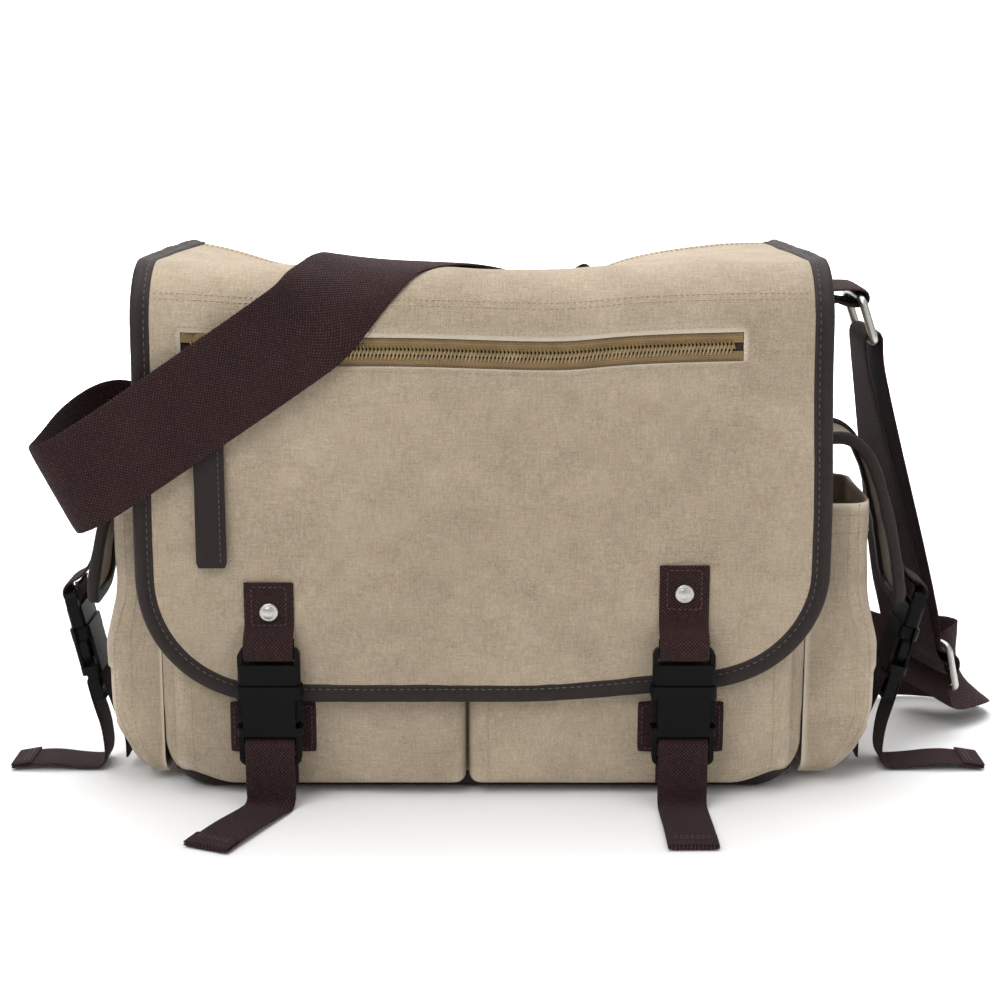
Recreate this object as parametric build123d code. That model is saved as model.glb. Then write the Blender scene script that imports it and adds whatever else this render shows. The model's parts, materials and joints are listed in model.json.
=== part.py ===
from build123d import *
import math
import os

# Messenger bag. Millimetres, +Z up, front towards -Y, origin on the ground under the middle of the base.

# Body
HALF_WIDTH = 186.0
HALF_DEPTH = 65.0
PANEL = 3.0
FRONT_HEIGHT = 262.0
BACK_HEIGHT = 299.0
CORNER = 28.0
SEAM_GAP = 0.3
RIM_FRONT = 262.0
RIM_BACK = 294.0
GUSSET_START = 30.0

# Flap: its layers are measured inwards from the outer canvas face
FLAP_TOP = 305.0
FLAP_FRONT = -85.0
FLAP_BACK_EDGE = 67.0
FLAP_LOW = 60.0
FLAP_CURVE = 35.0
FLAP_HALF = 191.0
FLAP_BACK_HALF = 181.0
FLAP_CORNER = 70.0
CANVAS = 1.4
POCKET_BAG = (1.7, 2.7)
FLAP_LINING = (3.0, 4.0)
BINDING_OUT = -1.0
BINDING_IN = 5.0
BINDING_WIDTH = 10.0

# Flap zip
ZIP_LEFT = -165.0
ZIP_RIGHT = 143.0
ZIP_HEIGHT = 262.0
ZIP_WINDOW = 16.0
COIL_HALF = 4.3
SLIDER_X = -151.0
PULL_WIDTH = 17.0
PULL_LOW = 138.0

# Front patch pockets
POCKET_FACE = -79.5
POCKET_WALL = 1.8
POCKET_LOW = 6.0
POCKET_TOP = 188.0
POCKET_SPLIT = -9.0
POCKET_HALF = 177.0

# Side pockets and their flaps; reach is how far each stands out from the gusset
SIDE_REACH = {"left": 26.0, "right": 36.0}
SIDE_FRONT = -60.0
SIDE_BACK = 30.0
SIDE_LOW = 5.0
SIDE_TOP = 168.0
SIDE_WALL = 2.0
SIDE_FLAP_Y = (-50.0, 4.0)
SIDE_FLAP_THICK = 2.4
SIDE_MIDDLE = -23.0

# Narrow webbing and its side-release buckles, placed by the middle of the plug's webbing bar
WEBBING = 28.0
WEBBING_PASS = WEBBING / 2 + 0.6
WEBBING_THICK = 1.6
BUCKLE_Z = 91.0
BUCKLE_Y = -94.5
FRONT_BUCKLE_X = {"left": -120.0, "right": 113.0}
TAB_TOP = {"left": 129.0, "right": 139.0}
RIVET_Z = {"left": 112.0, "right": 123.0}
SIDE_BAR = {"left": (-242.0, 108.0), "right": (256.0, 108.0)}
SIDE_TILT = {"left": 13.0, "right": 15.0}
RIVET_RADIUS = 5.0
RIVET_HEIGHT = 2.4

# Shoulder strap and its rings
STRAP = 50.0
STRAP_THICK = 2.0
RING_Y = 15.0
RING_WIRE = 2.5
RING_HALF = 29.5
RING_CORNER = 4.8
RING_TOP_BAR = {"left": (-194.9, 252.0), "right": (219.5, 279.5)}
RING_LOW_BAR = {"left": (-199.0, 226.0), "right": (228.0, 254.5)}
ADJUSTER_MIDDLE = (281.0, 60.0, 44.0)
ADJUSTER_RAIL = 16.0
ADJUSTER_WIRE = 2.0

SIDES = {"left": -1, "right": 1}


def save(name, *solids):
    """Write one node's solids to its own file."""
    flat = [solid for shape in solids for solid in shape.solids()]
    shape = flat[0] if len(flat) == 1 else Compound(children=flat)
    export_step(shape, f"parts/{name}.step")


def block(x, y, z):
    """Box between two limits on each axis."""
    middle = Pos(sum(x) / 2, sum(y) / 2, sum(z) / 2)
    return middle * Box(abs(x[1] - x[0]), abs(y[1] - y[0]), abs(z[1] - z[0]))


def prism_x(face, low, high):
    """Extrude a (y, z) face from x = low to x = high."""
    return extrude(Pos(low, 0, 0) * (Plane.YZ * face), high - low)


def prism_y(face, low, high):
    """Extrude an (x, z) face from y = low to y = high."""
    return extrude(Pos(0, high, 0) * (Plane.XZ * face), high - low)


def prism_z(face, low, high):
    """Extrude an (x, y) face from z = low to z = high."""
    return extrude(Pos(0, 0, low) * face, high - low)


def outline(points):
    return make_face(Polyline(*points, close=True))


def tongue(half_width, low, high, corner):
    """Rectangle with two rounded bottom corners."""
    shape = Pos(0, (low + high) / 2) * Rectangle(2 * half_width, high - low)
    return fillet(shape.vertices().sort_by(Axis.Y)[:2], corner)


def rounded_line(stations, rounds):
    """Cut the corners of a line of (place, width direction) stations until it runs smoothly."""
    for _ in range(rounds):
        cut = [stations[0]]
        for before, after in zip(stations, stations[1:]):
            for share in (0.25, 0.75):
                cut.append(tuple(a + (b - a) * share for a, b in zip(before, after)))
        stations = cut + [stations[-1]]
    return stations


def ribbon(path, width, thickness, rounds=2):
    """Flat band lofted along a path of (place, width direction) corners, which it rounds off."""
    corners = [(Vector(*place), Vector(*across)) for place, across in path]
    stations = rounded_line(corners, rounds)
    places = [place for place, _ in stations]
    sections = []
    for index, (place, across) in enumerate(stations):
        along = places[min(index + 1, len(places) - 1)] - places[max(index - 1, 0)]
        out = along.cross(across).normalized()
        wide = out.cross(along).normalized() * (width / 2)
        thick = out * (thickness / 2)
        around = [wide + thick, thick - wide, -wide - thick, wide - thick]
        sections.append(make_face(Polyline(*[place + corner for corner in around], close=True)))
    return loft(sections, ruled=True)


def flat_band(points, middle, width, thickness, along_y=False):
    """Band whose middle line lies in one upright plane; points are (out, up) pairs."""
    if along_y:
        path = [((out, middle, up), (0, 1, 0)) for out, up in points]
    else:
        path = [((middle, out, up), (1, 0, 0)) for out, up in points]
    return ribbon(path, width, thickness)


# Body panels, gusset and base


def rim_slope(drop=0.0):
    """Everything below the mouth of the bag, which rises from front to back."""
    front = RIM_FRONT - drop
    back = RIM_BACK - drop
    points = [(-HALF_DEPTH, -10), (HALF_DEPTH, -10), (HALF_DEPTH, back), (-HALF_DEPTH, front)]
    return prism_x(outline(points), -300, 300)


def body_panels():
    low = 1.0
    front = tongue(HALF_WIDTH, low, FRONT_HEIGHT, CORNER)
    back = tongue(HALF_WIDTH, low, BACK_HEIGHT, CORNER)
    save("front_panel", prism_y(front, -HALF_DEPTH, -HALF_DEPTH + PANEL))
    save("back_panel", prism_y(back, HALF_DEPTH - PANEL, HALF_DEPTH))


def gusset_and_base():
    half = HALF_DEPTH - PANEL - SEAM_GAP
    ring = prism_y(tongue(HALF_WIDTH, 0, 400, CORNER), -half, half)
    ring -= prism_y(tongue(HALF_WIDTH - PANEL, PANEL, 420, CORNER - PANEL), -half - 1, half + 1)
    base = ring & block((-300, 300), (-100, 100), (-1, GUSSET_START - SEAM_GAP))
    sides = ring & block((-300, 300), (-100, 100), (GUSSET_START, 400)) & rim_slope()
    save("base_panel", base)
    save("gusset_left", sides & block((-300, 0), (-100, 100), (0, 400)))
    save("gusset_right", sides & block((0, 300), (-100, 100), (0, 400)))
    save("base_board", block((-160, 160), (-60, 60), (PANEL + 0.3, PANEL + 2.9)))


def inner_lining():
    clear = 0.5
    skin = 1.0
    half = HALF_DEPTH - PANEL - clear
    wide = HALF_WIDTH - PANEL - clear
    low = PANEL + 3.3
    corner = CORNER - PANEL - 3
    shell = prism_y(tongue(wide, low, 400, corner), -half, half)
    shell -= prism_y(tongue(wide - skin, low + skin, 420, corner - skin), -half + skin, half - skin)
    save("lining", shell & rim_slope(12))


def rim_binding():
    """Leather channel over the mouth's front edge and both gusset edges."""
    cover = 1.0
    deep = 8.0
    slack = 0.15
    front_y = (-HALF_DEPTH - cover - slack, -HALF_DEPTH + PANEL + cover + slack)
    front_x = HALF_WIDTH - PANEL - 2 * slack
    front = block((-front_x, front_x), front_y, (FRONT_HEIGHT - deep, FRONT_HEIGHT + cover + slack))
    slot_y = (-HALF_DEPTH - slack, -HALF_DEPTH + PANEL + slack)
    front -= block((-300, 300), slot_y, (0, FRONT_HEIGHT + slack))

    side_front = front_y[1] + 0.3
    side_back = HALF_DEPTH - PANEL - 0.4
    rise = (RIM_BACK - RIM_FRONT) / (2 * HALF_DEPTH)

    def sloped(drop, lift, start, end):
        heights = [RIM_FRONT + rise * (y + HALF_DEPTH) for y in (start, end)]
        points = [(start, heights[0] - drop), (end, heights[1] - drop), (end, heights[1] + lift)]
        return outline(points + [(start, heights[0] + lift)])

    channels = []
    for way in SIDES.values():
        limits = sorted([way * (HALF_WIDTH + cover + slack), way * (HALF_WIDTH - PANEL - cover - slack)])
        channel = prism_x(sloped(deep, cover + slack, side_front, side_back), *limits)
        slot = sorted([way * (HALF_WIDTH + slack), way * (HALF_WIDTH - PANEL - slack)])
        channels.append(channel - prism_x(sloped(40, slack, -100, 100), *slot))
    save("rim_binding", front, *channels)


# Pockets


def front_pockets():
    limits = {"left": (-POCKET_HALF, POCKET_SPLIT - 1), "right": (POCKET_SPLIT + 1, POCKET_HALF)}
    back = -HALF_DEPTH - SEAM_GAP
    for side, (low, high) in limits.items():
        outer = block((low, high), (POCKET_FACE, back), (POCKET_LOW, POCKET_TOP))
        front_edges = outer.edges().filter_by(Axis.Z).group_by(Axis.Y)[0]
        outer = fillet(front_edges, 6)
        wall = POCKET_WALL
        inside = block((low + wall, high - wall), (POCKET_FACE + wall, 0), (POCKET_LOW + wall, 300))
        save(f"front_pocket_{side}", outer - inside)


def side_pockets():
    for side, way in SIDES.items():
        start = HALF_WIDTH + SEAM_GAP
        end = HALF_WIDTH + SIDE_REACH[side]
        outer = block((start, end), (SIDE_FRONT, SIDE_BACK), (SIDE_LOW, SIDE_TOP))
        outer = fillet(outer.edges().filter_by(Axis.Z).group_by(Axis.X)[-1], 12)
        inner_y = (SIDE_FRONT + SIDE_WALL, SIDE_BACK - SIDE_WALL)
        inside = block((0, end - SIDE_WALL), inner_y, (SIDE_LOW + SIDE_WALL, 300))
        inside = fillet(inside.edges().filter_by(Axis.Z).group_by(Axis.X)[-1], 10)
        shell = outer - inside
        save(f"side_pocket_{side}", shell if way > 0 else mirror(shell, about=Plane.YZ))


# Flap


def flap_layer(outer, inner, inset):
    """Part of the flap between two depths, its outline drawn in by inset."""
    centre = (FLAP_FRONT + FLAP_CURVE, FLAP_TOP - FLAP_CURVE)
    low = FLAP_LOW - 20
    edges = [
        Line((FLAP_BACK_EDGE, FLAP_TOP - outer), (centre[0], FLAP_TOP - outer)),
        CenterArc(centre, FLAP_CURVE - outer, 90, 90),
        Line((FLAP_FRONT + outer, centre[1]), (FLAP_FRONT + outer, low)),
        Line((FLAP_FRONT + outer, low), (FLAP_FRONT + inner, low)),
        Line((FLAP_FRONT + inner, low), (FLAP_FRONT + inner, centre[1])),
        CenterArc(centre, FLAP_CURVE - inner, 180, -90),
        Line((centre[0], FLAP_TOP - inner), (FLAP_BACK_EDGE, FLAP_TOP - inner)),
        Line((FLAP_BACK_EDGE, FLAP_TOP - inner), (FLAP_BACK_EDGE, FLAP_TOP - outer)),
    ]
    sheet = prism_x(make_face(edges), -220, 220)
    front = tongue(FLAP_HALF - inset, FLAP_LOW + inset, 400, FLAP_CORNER - inset)
    wide = FLAP_HALF - inset
    narrow = FLAP_BACK_HALF - inset
    plan = outline(
        [(-wide, -140), (wide, -140), (wide, centre[0]), (narrow, 70), (-narrow, 70), (-wide, centre[0])]
    )
    return sheet & prism_y(front, -150, 100) & prism_z(plan, 0, 400)


def flap_halves(layer):
    """Cut a flap layer at the bend line, half way round the curve."""
    y = FLAP_FRONT + FLAP_CURVE
    z = FLAP_TOP - FLAP_CURVE
    gap = 0.2
    above = outline([(y, z), (y - 200, z + 200), (y - 200, 600), (200, 600), (200, z)])
    below = outline([(y, z), (y - 200, z + 200), (y - 300, z + 200), (y - 300, -50), (y, -50)])
    top = layer & (Pos(0, gap, gap) * prism_x(above, -300, 300))
    front = layer & (Pos(0, -gap, -gap) * prism_x(below, -300, 300))
    return top, front


def flap():
    canvas_top, canvas_front = flap_halves(flap_layer(0, CANVAS, 0))
    window_z = (ZIP_HEIGHT - ZIP_WINDOW / 2, ZIP_HEIGHT + ZIP_WINDOW / 2)
    canvas_front -= block((ZIP_LEFT, ZIP_RIGHT), (-100, -80), window_z)
    save("flap_top_canvas", canvas_top)
    save("flap_front_canvas", canvas_front)

    lining_top, lining_front = flap_halves(flap_layer(*FLAP_LINING, 0))
    save("flap_top_lining", lining_top)
    save("flap_front_lining", lining_front)

    slack = 0.15
    binding = flap_layer(BINDING_OUT, BINDING_IN, -1)
    binding -= flap_layer(BINDING_OUT - 1, BINDING_IN + 1, BINDING_WIDTH - 1)
    binding -= flap_layer(-slack, FLAP_LINING[1] + slack, -slack)
    binding_top, binding_front = flap_halves(binding)
    save("flap_top_binding", binding_top)
    save("flap_front_binding", binding_front)


def flap_zip():
    """Zip in the flap's front: tapes, coil with end stops, hidden pocket bag, slider and pull."""
    tape_y = (FLAP_FRONT + 0.2, FLAP_FRONT + 1.3)
    x = (ZIP_LEFT + 0.3, ZIP_RIGHT - 0.3)
    edge = ZIP_WINDOW / 2 - 0.3
    tapes = []
    for way in (-1, 1):
        z = sorted([ZIP_HEIGHT + way * (COIL_HALF + 0.3), ZIP_HEIGHT + way * edge])
        tapes.append(block(x, tape_y, z))
    save("zip_tapes", *tapes)

    coil_y = (FLAP_FRONT - 1.2, FLAP_FRONT + 1.3)
    coil = block((ZIP_LEFT + 5, ZIP_RIGHT - 4), coil_y, (ZIP_HEIGHT - COIL_HALF, ZIP_HEIGHT + COIL_HALF))
    coil = fillet(coil.edges().filter_by(Axis.X).group_by(Axis.Y)[0], 0.9)
    stop_z = (ZIP_HEIGHT - COIL_HALF, ZIP_HEIGHT + COIL_HALF)
    stops = [
        block((ZIP_LEFT + 1, ZIP_LEFT + 4.5), coil_y, stop_z),
        block((ZIP_RIGHT - 3.5, ZIP_RIGHT - 1), coil_y, stop_z),
    ]
    save("zip_coil", coil, *stops)

    bag_y = (FLAP_FRONT + POCKET_BAG[0], FLAP_FRONT + POCKET_BAG[1])
    save("zip_pocket_bag", block((ZIP_LEFT - 8, ZIP_RIGHT + 8), bag_y, (92, FLAP_TOP - FLAP_CURVE)))

    plate_back = FLAP_FRONT - 1.4
    half = 6.0
    tall = COIL_HALF + 2.4
    plate_z = (ZIP_HEIGHT - tall, ZIP_HEIGHT + tall)
    plate = block((SLIDER_X - half, SLIDER_X + half), (plate_back - 1.8, plate_back), plate_z)
    plate = fillet(plate.edges().filter_by(Axis.Y), 2)
    for way in (-1, 1):
        z = sorted([ZIP_HEIGHT + way * (COIL_HALF + 0.7), ZIP_HEIGHT + way * (tall - 0.3)])
        plate += block((SLIDER_X - half + 2, SLIDER_X + half - 2), (plate_back - 0.5, FLAP_FRONT - 0.2), z)
    bridge_z = (ZIP_HEIGHT - 1.4, ZIP_HEIGHT + 1.4)
    bridge = block((SLIDER_X - 5.8, SLIDER_X + 5.8), (plate_back - 4.6, plate_back - 1.8), bridge_z)
    slot_z = (ZIP_HEIGHT - 7, ZIP_HEIGHT + 3)
    bridge -= block((SLIDER_X - 4.5, SLIDER_X + 4.5), (plate_back - 3.6, plate_back - 1.7), slot_z)
    save("zip_slider", plate + bridge)

    pull_y = (FLAP_FRONT - 6.6, FLAP_FRONT - 3.6)
    low = PULL_LOW
    leather = block((SLIDER_X - PULL_WIDTH / 2, SLIDER_X + PULL_WIDTH / 2), pull_y, (low, ZIP_HEIGHT - 7.5))
    leather = fillet(leather.edges().filter_by(Axis.Y), 1.5)
    save("zip_pull", leather)

    # wire loop through the slider's bridge, closed below in the leather's folded top
    link_y = plate_back - 2.7
    loop_path = Pos(SLIDER_X, link_y, ZIP_HEIGHT - 2.3) * (Plane.XZ * RectangleRounded(3.4, 7.4, 1.2))
    wire = loop_path.faces()[0].outer_wire()
    link = sweep(Plane(wire @ 0, z_dir=wire % 0) * Circle(0.7), wire)
    save("zip_link", link)


# Buckles, in their own frame: X across, +Z up, front towards -Y, origin in the webbing bar


def plug_solid():
    body = block((-17.5, 17.5), (-4.5, 4.5), (-19, -7))
    body = fillet(body.edges().filter_by(Axis.Z), 2.5)
    frame = block((-17.4, 17.4), (-3.6, 3.6), (-8, 2.2))
    frame = fillet(frame.edges().filter_by(Axis.Y).group_by(Axis.Z)[-1], 5)
    frame -= block((-WEBBING_PASS, WEBBING_PASS), (-9, 9), (-7, 3))
    bar = block((-WEBBING_PASS - 0.6, WEBBING_PASS + 0.6), (-1.9, 1.9), (-2, 2))
    bar = fillet(bar.edges().filter_by(Axis.X), 1.2)
    prong = block((-4, 4), (-2.4, 2.4), (-41, -18.5))
    prong = chamfer(prong.edges().filter_by(Axis.Y).group_by(Axis.Z)[0], 2)
    return body + frame + bar + prong


def arm_solid(way):
    points = [(9.5, -19.5), (15.5, -19.5), (15.8, -27), (18.2, -29)]
    points += [(18.2, -37), (14.5, -42), (12, -42), (11.5, -30)]
    return prism_y(outline([(way * x, z) for x, z in points]), -2.4, 2.4)


def socket_solid():
    body = block((-18.5, 18.5), (-6, 6), (-48.5, -19.3))
    body = fillet(body.edges().filter_by(Axis.Z), 3.5)
    ladder = block((-17.5, 17.5), (-3, 3), (-66, -47))
    ladder = fillet(ladder.edges().filter_by(Axis.Y).group_by(Axis.Z)[0], 4)
    ladder -= block((-WEBBING_PASS, WEBBING_PASS), (-9, 9), (-53.5, -48.5))
    ladder -= block((-WEBBING_PASS, WEBBING_PASS), (-9, 9), (-62.5, -57.8))
    cavity = block((-16.5, 16.5), (-4, 4), (-45, 0))
    shape = body + ladder - cavity
    for way in SIDES.values():
        x = sorted([way * 14.8, way * 20])
        shape -= block(x, (-9, 9), (-43.5, -27))
        shape -= block(sorted([way * 16, way * 20]), (-2.9, 2.9), (-28, -18))
    return shape


def buckle_places():
    """Location of each buckle: two on the front, one on each side pocket."""
    places = {}
    for side, x in FRONT_BUCKLE_X.items():
        places[f"front_{side}"] = Pos(x, BUCKLE_Y, BUCKLE_Z)
    for side, way in SIDES.items():
        x, z = SIDE_BAR[side]
        places[f"side_{side}"] = Pos(x, SIDE_MIDDLE, z) * Rot(0, 0, 90 * way) * Rot(SIDE_TILT[side], 0, 0)
    return places


def buckles():
    places = buckle_places()
    plug = plug_solid()
    for name, place in places.items():
        save(f"{name}_plug", place * plug)
        save(f"{name}_arm_a", place * arm_solid(-1))
        save(f"{name}_arm_b", place * arm_solid(1))
    socket = socket_solid()
    save("front_sockets", *[places[f"front_{side}"] * socket for side in SIDES])
    save("side_sockets", *[places[f"side_{side}"] * socket for side in SIDES])


# Webbing round the buckles, as (inwards, up) pairs from the middle of the plug's bar

# Down in front of the bar, under it and up behind it, where it is sewn back
BAR_LOOP = [(-4.4, 6.4), (-4.4, -4.9), (4.3, -4.9), (4.3, 3.0), (5.6, 5.6)]
# Up behind the socket, forward through its upper slot and down its front
LADDER_PASS = [(5.0, -60), (4.9, -51), (-4.9, -51), (-5.0, -58), (-5.0, -68)]


def tilted(points, tilt, bar):
    """Turn (inwards, up) pairs by the buckle's tilt and carry them to its bar."""
    c = math.cos(math.radians(tilt))
    s = math.sin(math.radians(tilt))
    return [(bar[0] + y * c - z * s, bar[1] + y * s + z * c) for y, z in points]


def rivet(place):
    cap = place * Cylinder(RIVET_RADIUS, RIVET_HEIGHT)
    return fillet(cap.edges(), 0.9)


def front_webbing():
    tabs = []
    rivets = []
    patches = []
    lie = FLAP_FRONT - 0.95
    for side, x in FRONT_BUCKLE_X.items():
        start = [(lie, TAB_TOP[side]), (lie, RIVET_Z[side] - RIVET_RADIUS), (lie, 104.5)]
        loop = tilted(BAR_LOOP, 0, (BUCKLE_Y, BUCKLE_Z))
        tabs.append(flat_band(start + loop, x, WEBBING, WEBBING_THICK))
        rivets.append(rivet(Pos(x, lie - 0.9 - RIVET_HEIGHT / 2, RIVET_Z[side]) * Rot(90, 0, 0)))
        patches.append(block((x - 24.5, x + 24.5), (POCKET_FACE - 1.8, POCKET_FACE - 0.2), (27, 57)))
    save("front_tabs", *tabs)
    save("front_rivets", *rivets)
    save("front_patches", *patches)

    tail_end = -162.0
    drifts = {"left": -27.0, "right": 1.0}
    for side, x in FRONT_BUCKLE_X.items():
        rise = [(POCKET_FACE - 1.2, 8), (POCKET_FACE - 1.2, 20), (POCKET_FACE - 3.9, 27)]
        through = tilted(LADDER_PASS, 0, (BUCKLE_Y, BUCKLE_Z))
        hang = [(-99.2, 16), (-97.5, 1.2)]
        turn = drifts[side] / 60
        path = [((x, y, z), (1, 0, 0)) for y, z in rise + through + hang]
        for y in (-110, tail_end):
            path.append(((x + turn * (-98 - y), y, 1.1), (1, turn, 0)))
        save(f"front_strap_{side}", ribbon(path, WEBBING, WEBBING_THICK))


# Middle line of each side flap as (out, up), from its seam on the gusset over the pocket to its tip
SIDE_FLAP_LINE = {
    "left": [(190.4, 200), (196, 202.5), (204, 200), (210.5, 187), (216.5, 165), (223, 138), (229, 104)],
    "right": [(190.4, 200), (197, 204.5), (210, 204.5), (222, 194), (230, 172), (238, 140), (244, 104)],
}
# Straight part of each side tab, on its flap
SIDE_TAB_LINE = {
    "left": [(220.9, 158.5), (230.9, 121)],
    "right": [(235.4, 160.5), (245.0, 121)],
}


def side_sheet(side, thickness, y, past_tip=0.0):
    """Side flap sheet of one thickness, its tip drawn out (or cut back if negative) by past_tip."""
    points = SIDE_FLAP_LINE[side]
    before = Vector(*points[-2])
    tip = Vector(*points[-1])
    tip += (tip - before).normalized() * past_tip
    line = points[:-1] + [(tip.X, tip.Y)]
    return flat_band(line, sum(y) / 2, y[1] - y[0], thickness, along_y=True)


def mirrored(shape, way):
    return shape if way > 0 else mirror(shape, about=Plane.YZ)


def side_flaps():
    low, high = SIDE_FLAP_Y
    for side, way in SIDES.items():
        sheet = side_sheet(side, SIDE_FLAP_THICK, (low, high))
        save(f"side_flap_{side}", mirrored(sheet, way))
        cover = side_sheet(side, SIDE_FLAP_THICK + 2, (low - 1, high + 1), 1)
        cover -= side_sheet(side, SIDE_FLAP_THICK + 6, (low + 7, high - 7), -8)
        cover -= side_sheet(side, SIDE_FLAP_THICK + 0.4, (low - 0.2, high + 0.2), 0.2)
        save(f"side_flap_{side}_binding", mirrored(cover, way))


def side_webbing():
    patches = []
    for side, way in SIDES.items():
        bar_x, bar_z = SIDE_BAR[side]
        bar = (-abs(bar_x), bar_z)
        tilt = SIDE_TILT[side]
        face = -HALF_WIDTH - SIDE_REACH[side]
        turned = Rot(0, 0, 90 * way)
        middle = SIDE_MIDDLE * way

        start = [(-x, z) for x, z in SIDE_TAB_LINE[side]]
        line = start + tilted(BAR_LOOP, tilt, bar)
        save(f"side_tab_{side}", turned * flat_band(line, middle, WEBBING, WEBBING_THICK))
        (x0, z0), (x1, z1) = start
        lean = math.atan2(x0 - x1, z0 - z1)
        lift = WEBBING_THICK / 2 + 0.1 + RIVET_HEIGHT / 2
        x = (x0 + x1) / 2 - lift * math.cos(lean)
        z = (z0 + z1) / 2 + lift * math.sin(lean)
        save(f"side_rivet_{side}", turned * rivet(Pos(middle, x, z) * Rot(90 - math.degrees(lean), 0, 0)))

        patches.append(turned * block((middle - 24.5, middle + 24.5), (face - 1.8, face - 0.2), (27, 57)))
        rise = [(face - 1.2, 8), (face - 1.2, 20), (face - 3.9, 27)]
        through = tilted(LADDER_PASS, tilt, bar)
        foot = through[-1][0]
        end = {"left": -283.0, "right": -300.0}[side]
        tail = [(foot + 5, 24), (foot + 6, 1.2), (foot - 8, 1.1), (end, 1.1)]
        save(f"side_strap_{side}", turned * flat_band(rise + through + tail, middle, WEBBING, WEBBING_THICK))
    save("side_patches", *patches)


# Shoulder strap, its rings and its adjuster


def wire_ring(top, low):
    """Rounded rectangular ring of round wire between two bars that run along Y."""
    a = Vector(top[0], RING_Y, top[1])
    b = Vector(low[0], RING_Y, low[1])
    plane = Plane((a + b) * 0.5, x_dir=(0, -1, 0), z_dir=Vector(0, 1, 0).cross(b - a))
    path = plane * RectangleRounded(2 * RING_HALF, (b - a).length, RING_CORNER)
    wire = path.faces()[0].outer_wire()
    return sweep(Plane(wire @ 0, z_dir=wire % 0) * Circle(RING_WIRE), wire)


def rings():
    for side in SIDES:
        save(f"ring_{side}", wire_ring(RING_TOP_BAR[side], RING_LOW_BAR[side]))
    sewn = HALF_WIDTH + 2.7
    folded = sewn + 2.4
    round_bar = 4.7

    x, z = RING_TOP_BAR["left"]
    left = [(-sewn, 284), (-sewn, 256), (x + round_bar, z - round_bar), (x - round_bar, z - round_bar)]
    left += [(x - round_bar, z + round_bar), (-folded, 266), (-folded, 283)]

    x, z = RING_TOP_BAR["right"]
    right = [(sewn, 250), (sewn, 270), (197, 283.5), (212, 285), (x + round_bar, z + round_bar)]
    right += [(x + round_bar, z - round_bar), (212, z - round_bar), (204, 279), (folded, 266), (folded, 251)]
    save("ring_loops", *[flat_band(line, RING_Y, STRAP, STRAP_THICK, along_y=True) for line in (left, right)])


def adjuster_axes():
    """Middle of the adjuster on the strap's drop, and its along, across and inward directions."""
    middle = Vector(*ADJUSTER_MIDDLE)
    ring = Vector(RING_LOW_BAR["right"][0], RING_Y, RING_LOW_BAR["right"][1])
    along = (ring - middle).normalized()
    inward = along.cross(Vector(-0.45, 0.88, 0.1)).normalized()
    return middle, along, inward.cross(along), inward


def adjuster():
    middle, along, across, inward = adjuster_axes()
    plane = Plane(middle, x_dir=across, z_dir=inward)
    frame = plane * RectangleRounded(2 * RING_HALF, 2 * ADJUSTER_RAIL, RING_CORNER)
    wire = frame.faces()[0].outer_wire()
    shape = sweep(Plane(wire @ 0, z_dir=wire % 0) * Circle(ADJUSTER_WIRE), wire)
    bar_start = middle - across * RING_HALF
    shape += extrude(Plane(bar_start, z_dir=across) * Circle(ADJUSTER_WIRE), 2 * RING_HALF)
    save("adjuster", shape)


def shoulder_strap():
    """One length of webbing: sewn fold on the left ring, over the flap, down the back, round the floor,
    through the adjuster, through the right ring and back to the adjuster's bar."""
    level = (0, 1, 0)
    round_bar = 5.0
    y = RING_Y

    x, z = RING_LOW_BAR["left"]
    fold = [(round_bar, -16), (round_bar, -3), (round_bar, 5), (-round_bar, 5), (-round_bar, -3), (-6, -9)]
    path = [((x + out, y, z + up), level) for out, up in fold]
    path += [
        ((-213, 7, 211), (0, 0.95, -0.3)),
        ((-223, -14, 209), (0.05, 0.8, -0.6)),
        ((-232, -42, 197), (0.2, 0.45, -0.87)),
        ((-234, -66, 184), (0.4, 0.1, -0.9)),
        ((-236, -85, 180.5), (0.45, 0, -0.89)),
        ((-229, -94.8, 184), (0.5, 0, -0.86)),
        ((-212, -94.8, 194), (0.56, 0, -0.83)),
        ((-103, -94.8, 267.5), (0.56, 0, -0.83)),
        ((-80, -93, 290), (0.66, -0.3, -0.65)),
        ((-60, -72, 308.5), (0.8, -0.5, -0.3)),
        ((-36, -40, 308.7), (0.84, -0.54, 0)),
        ((14, 46, 308.7), (0.85, -0.52, 0)),
        ((27, 80, 310), (0.87, -0.35, 0.33)),
        ((38, 80, 284), (0.87, 0, 0.5)),
        ((92, 79, 205), (0.8, 0, 0.6)),
        ((152, 84, 122), (0.8, 0, 0.6)),
        ((210, 92, 58), (0.6, 0, 0.8)),
        ((248, 102, 30), (0.2, 0.1, 0.97)),
        ((286, 112, 27), (0, 0, 1)),
        ((310, 106, 27), (-0.08, 0.3, 0.95)),
        ((311, 86, 25), (-0.25, 0.6, 0.75)),
        ((302, 73, 20), (-0.4, 0.82, 0.4)),
    ]
    middle, along, across, inward = adjuster_axes()
    wide = tuple(across if across.Y > 0 else across * -1)

    def on_adjuster(points):
        return [(tuple(middle + along * t + inward * n), wide) for t, n in points]

    path += on_adjuster([(-30, 4.0), (-20, 4.4), (-13, 4.4), (-5, -7.6)])
    path += on_adjuster([(5, -7.6), (13, 4.4), (20, 4.4), (34, 1)])
    x, z = RING_LOW_BAR["right"]
    turn = [(6.5, -18), (round_bar, -4), (round_bar, 5), (-round_bar, 5), (-round_bar, -4), (-2.5, -18)]
    path += [((x + out, y, z + up), level) for out, up in turn]
    path += on_adjuster([(60, 9.5), (34, 8.6), (20, 8.4), (12, 8.2)])
    path += on_adjuster([(5.5, 4.6), (-4.5, 4.4), (-4.5, -4.2), (1.5, -4.2)])
    save("shoulder_strap", ribbon(path, STRAP, STRAP_THICK))


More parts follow.
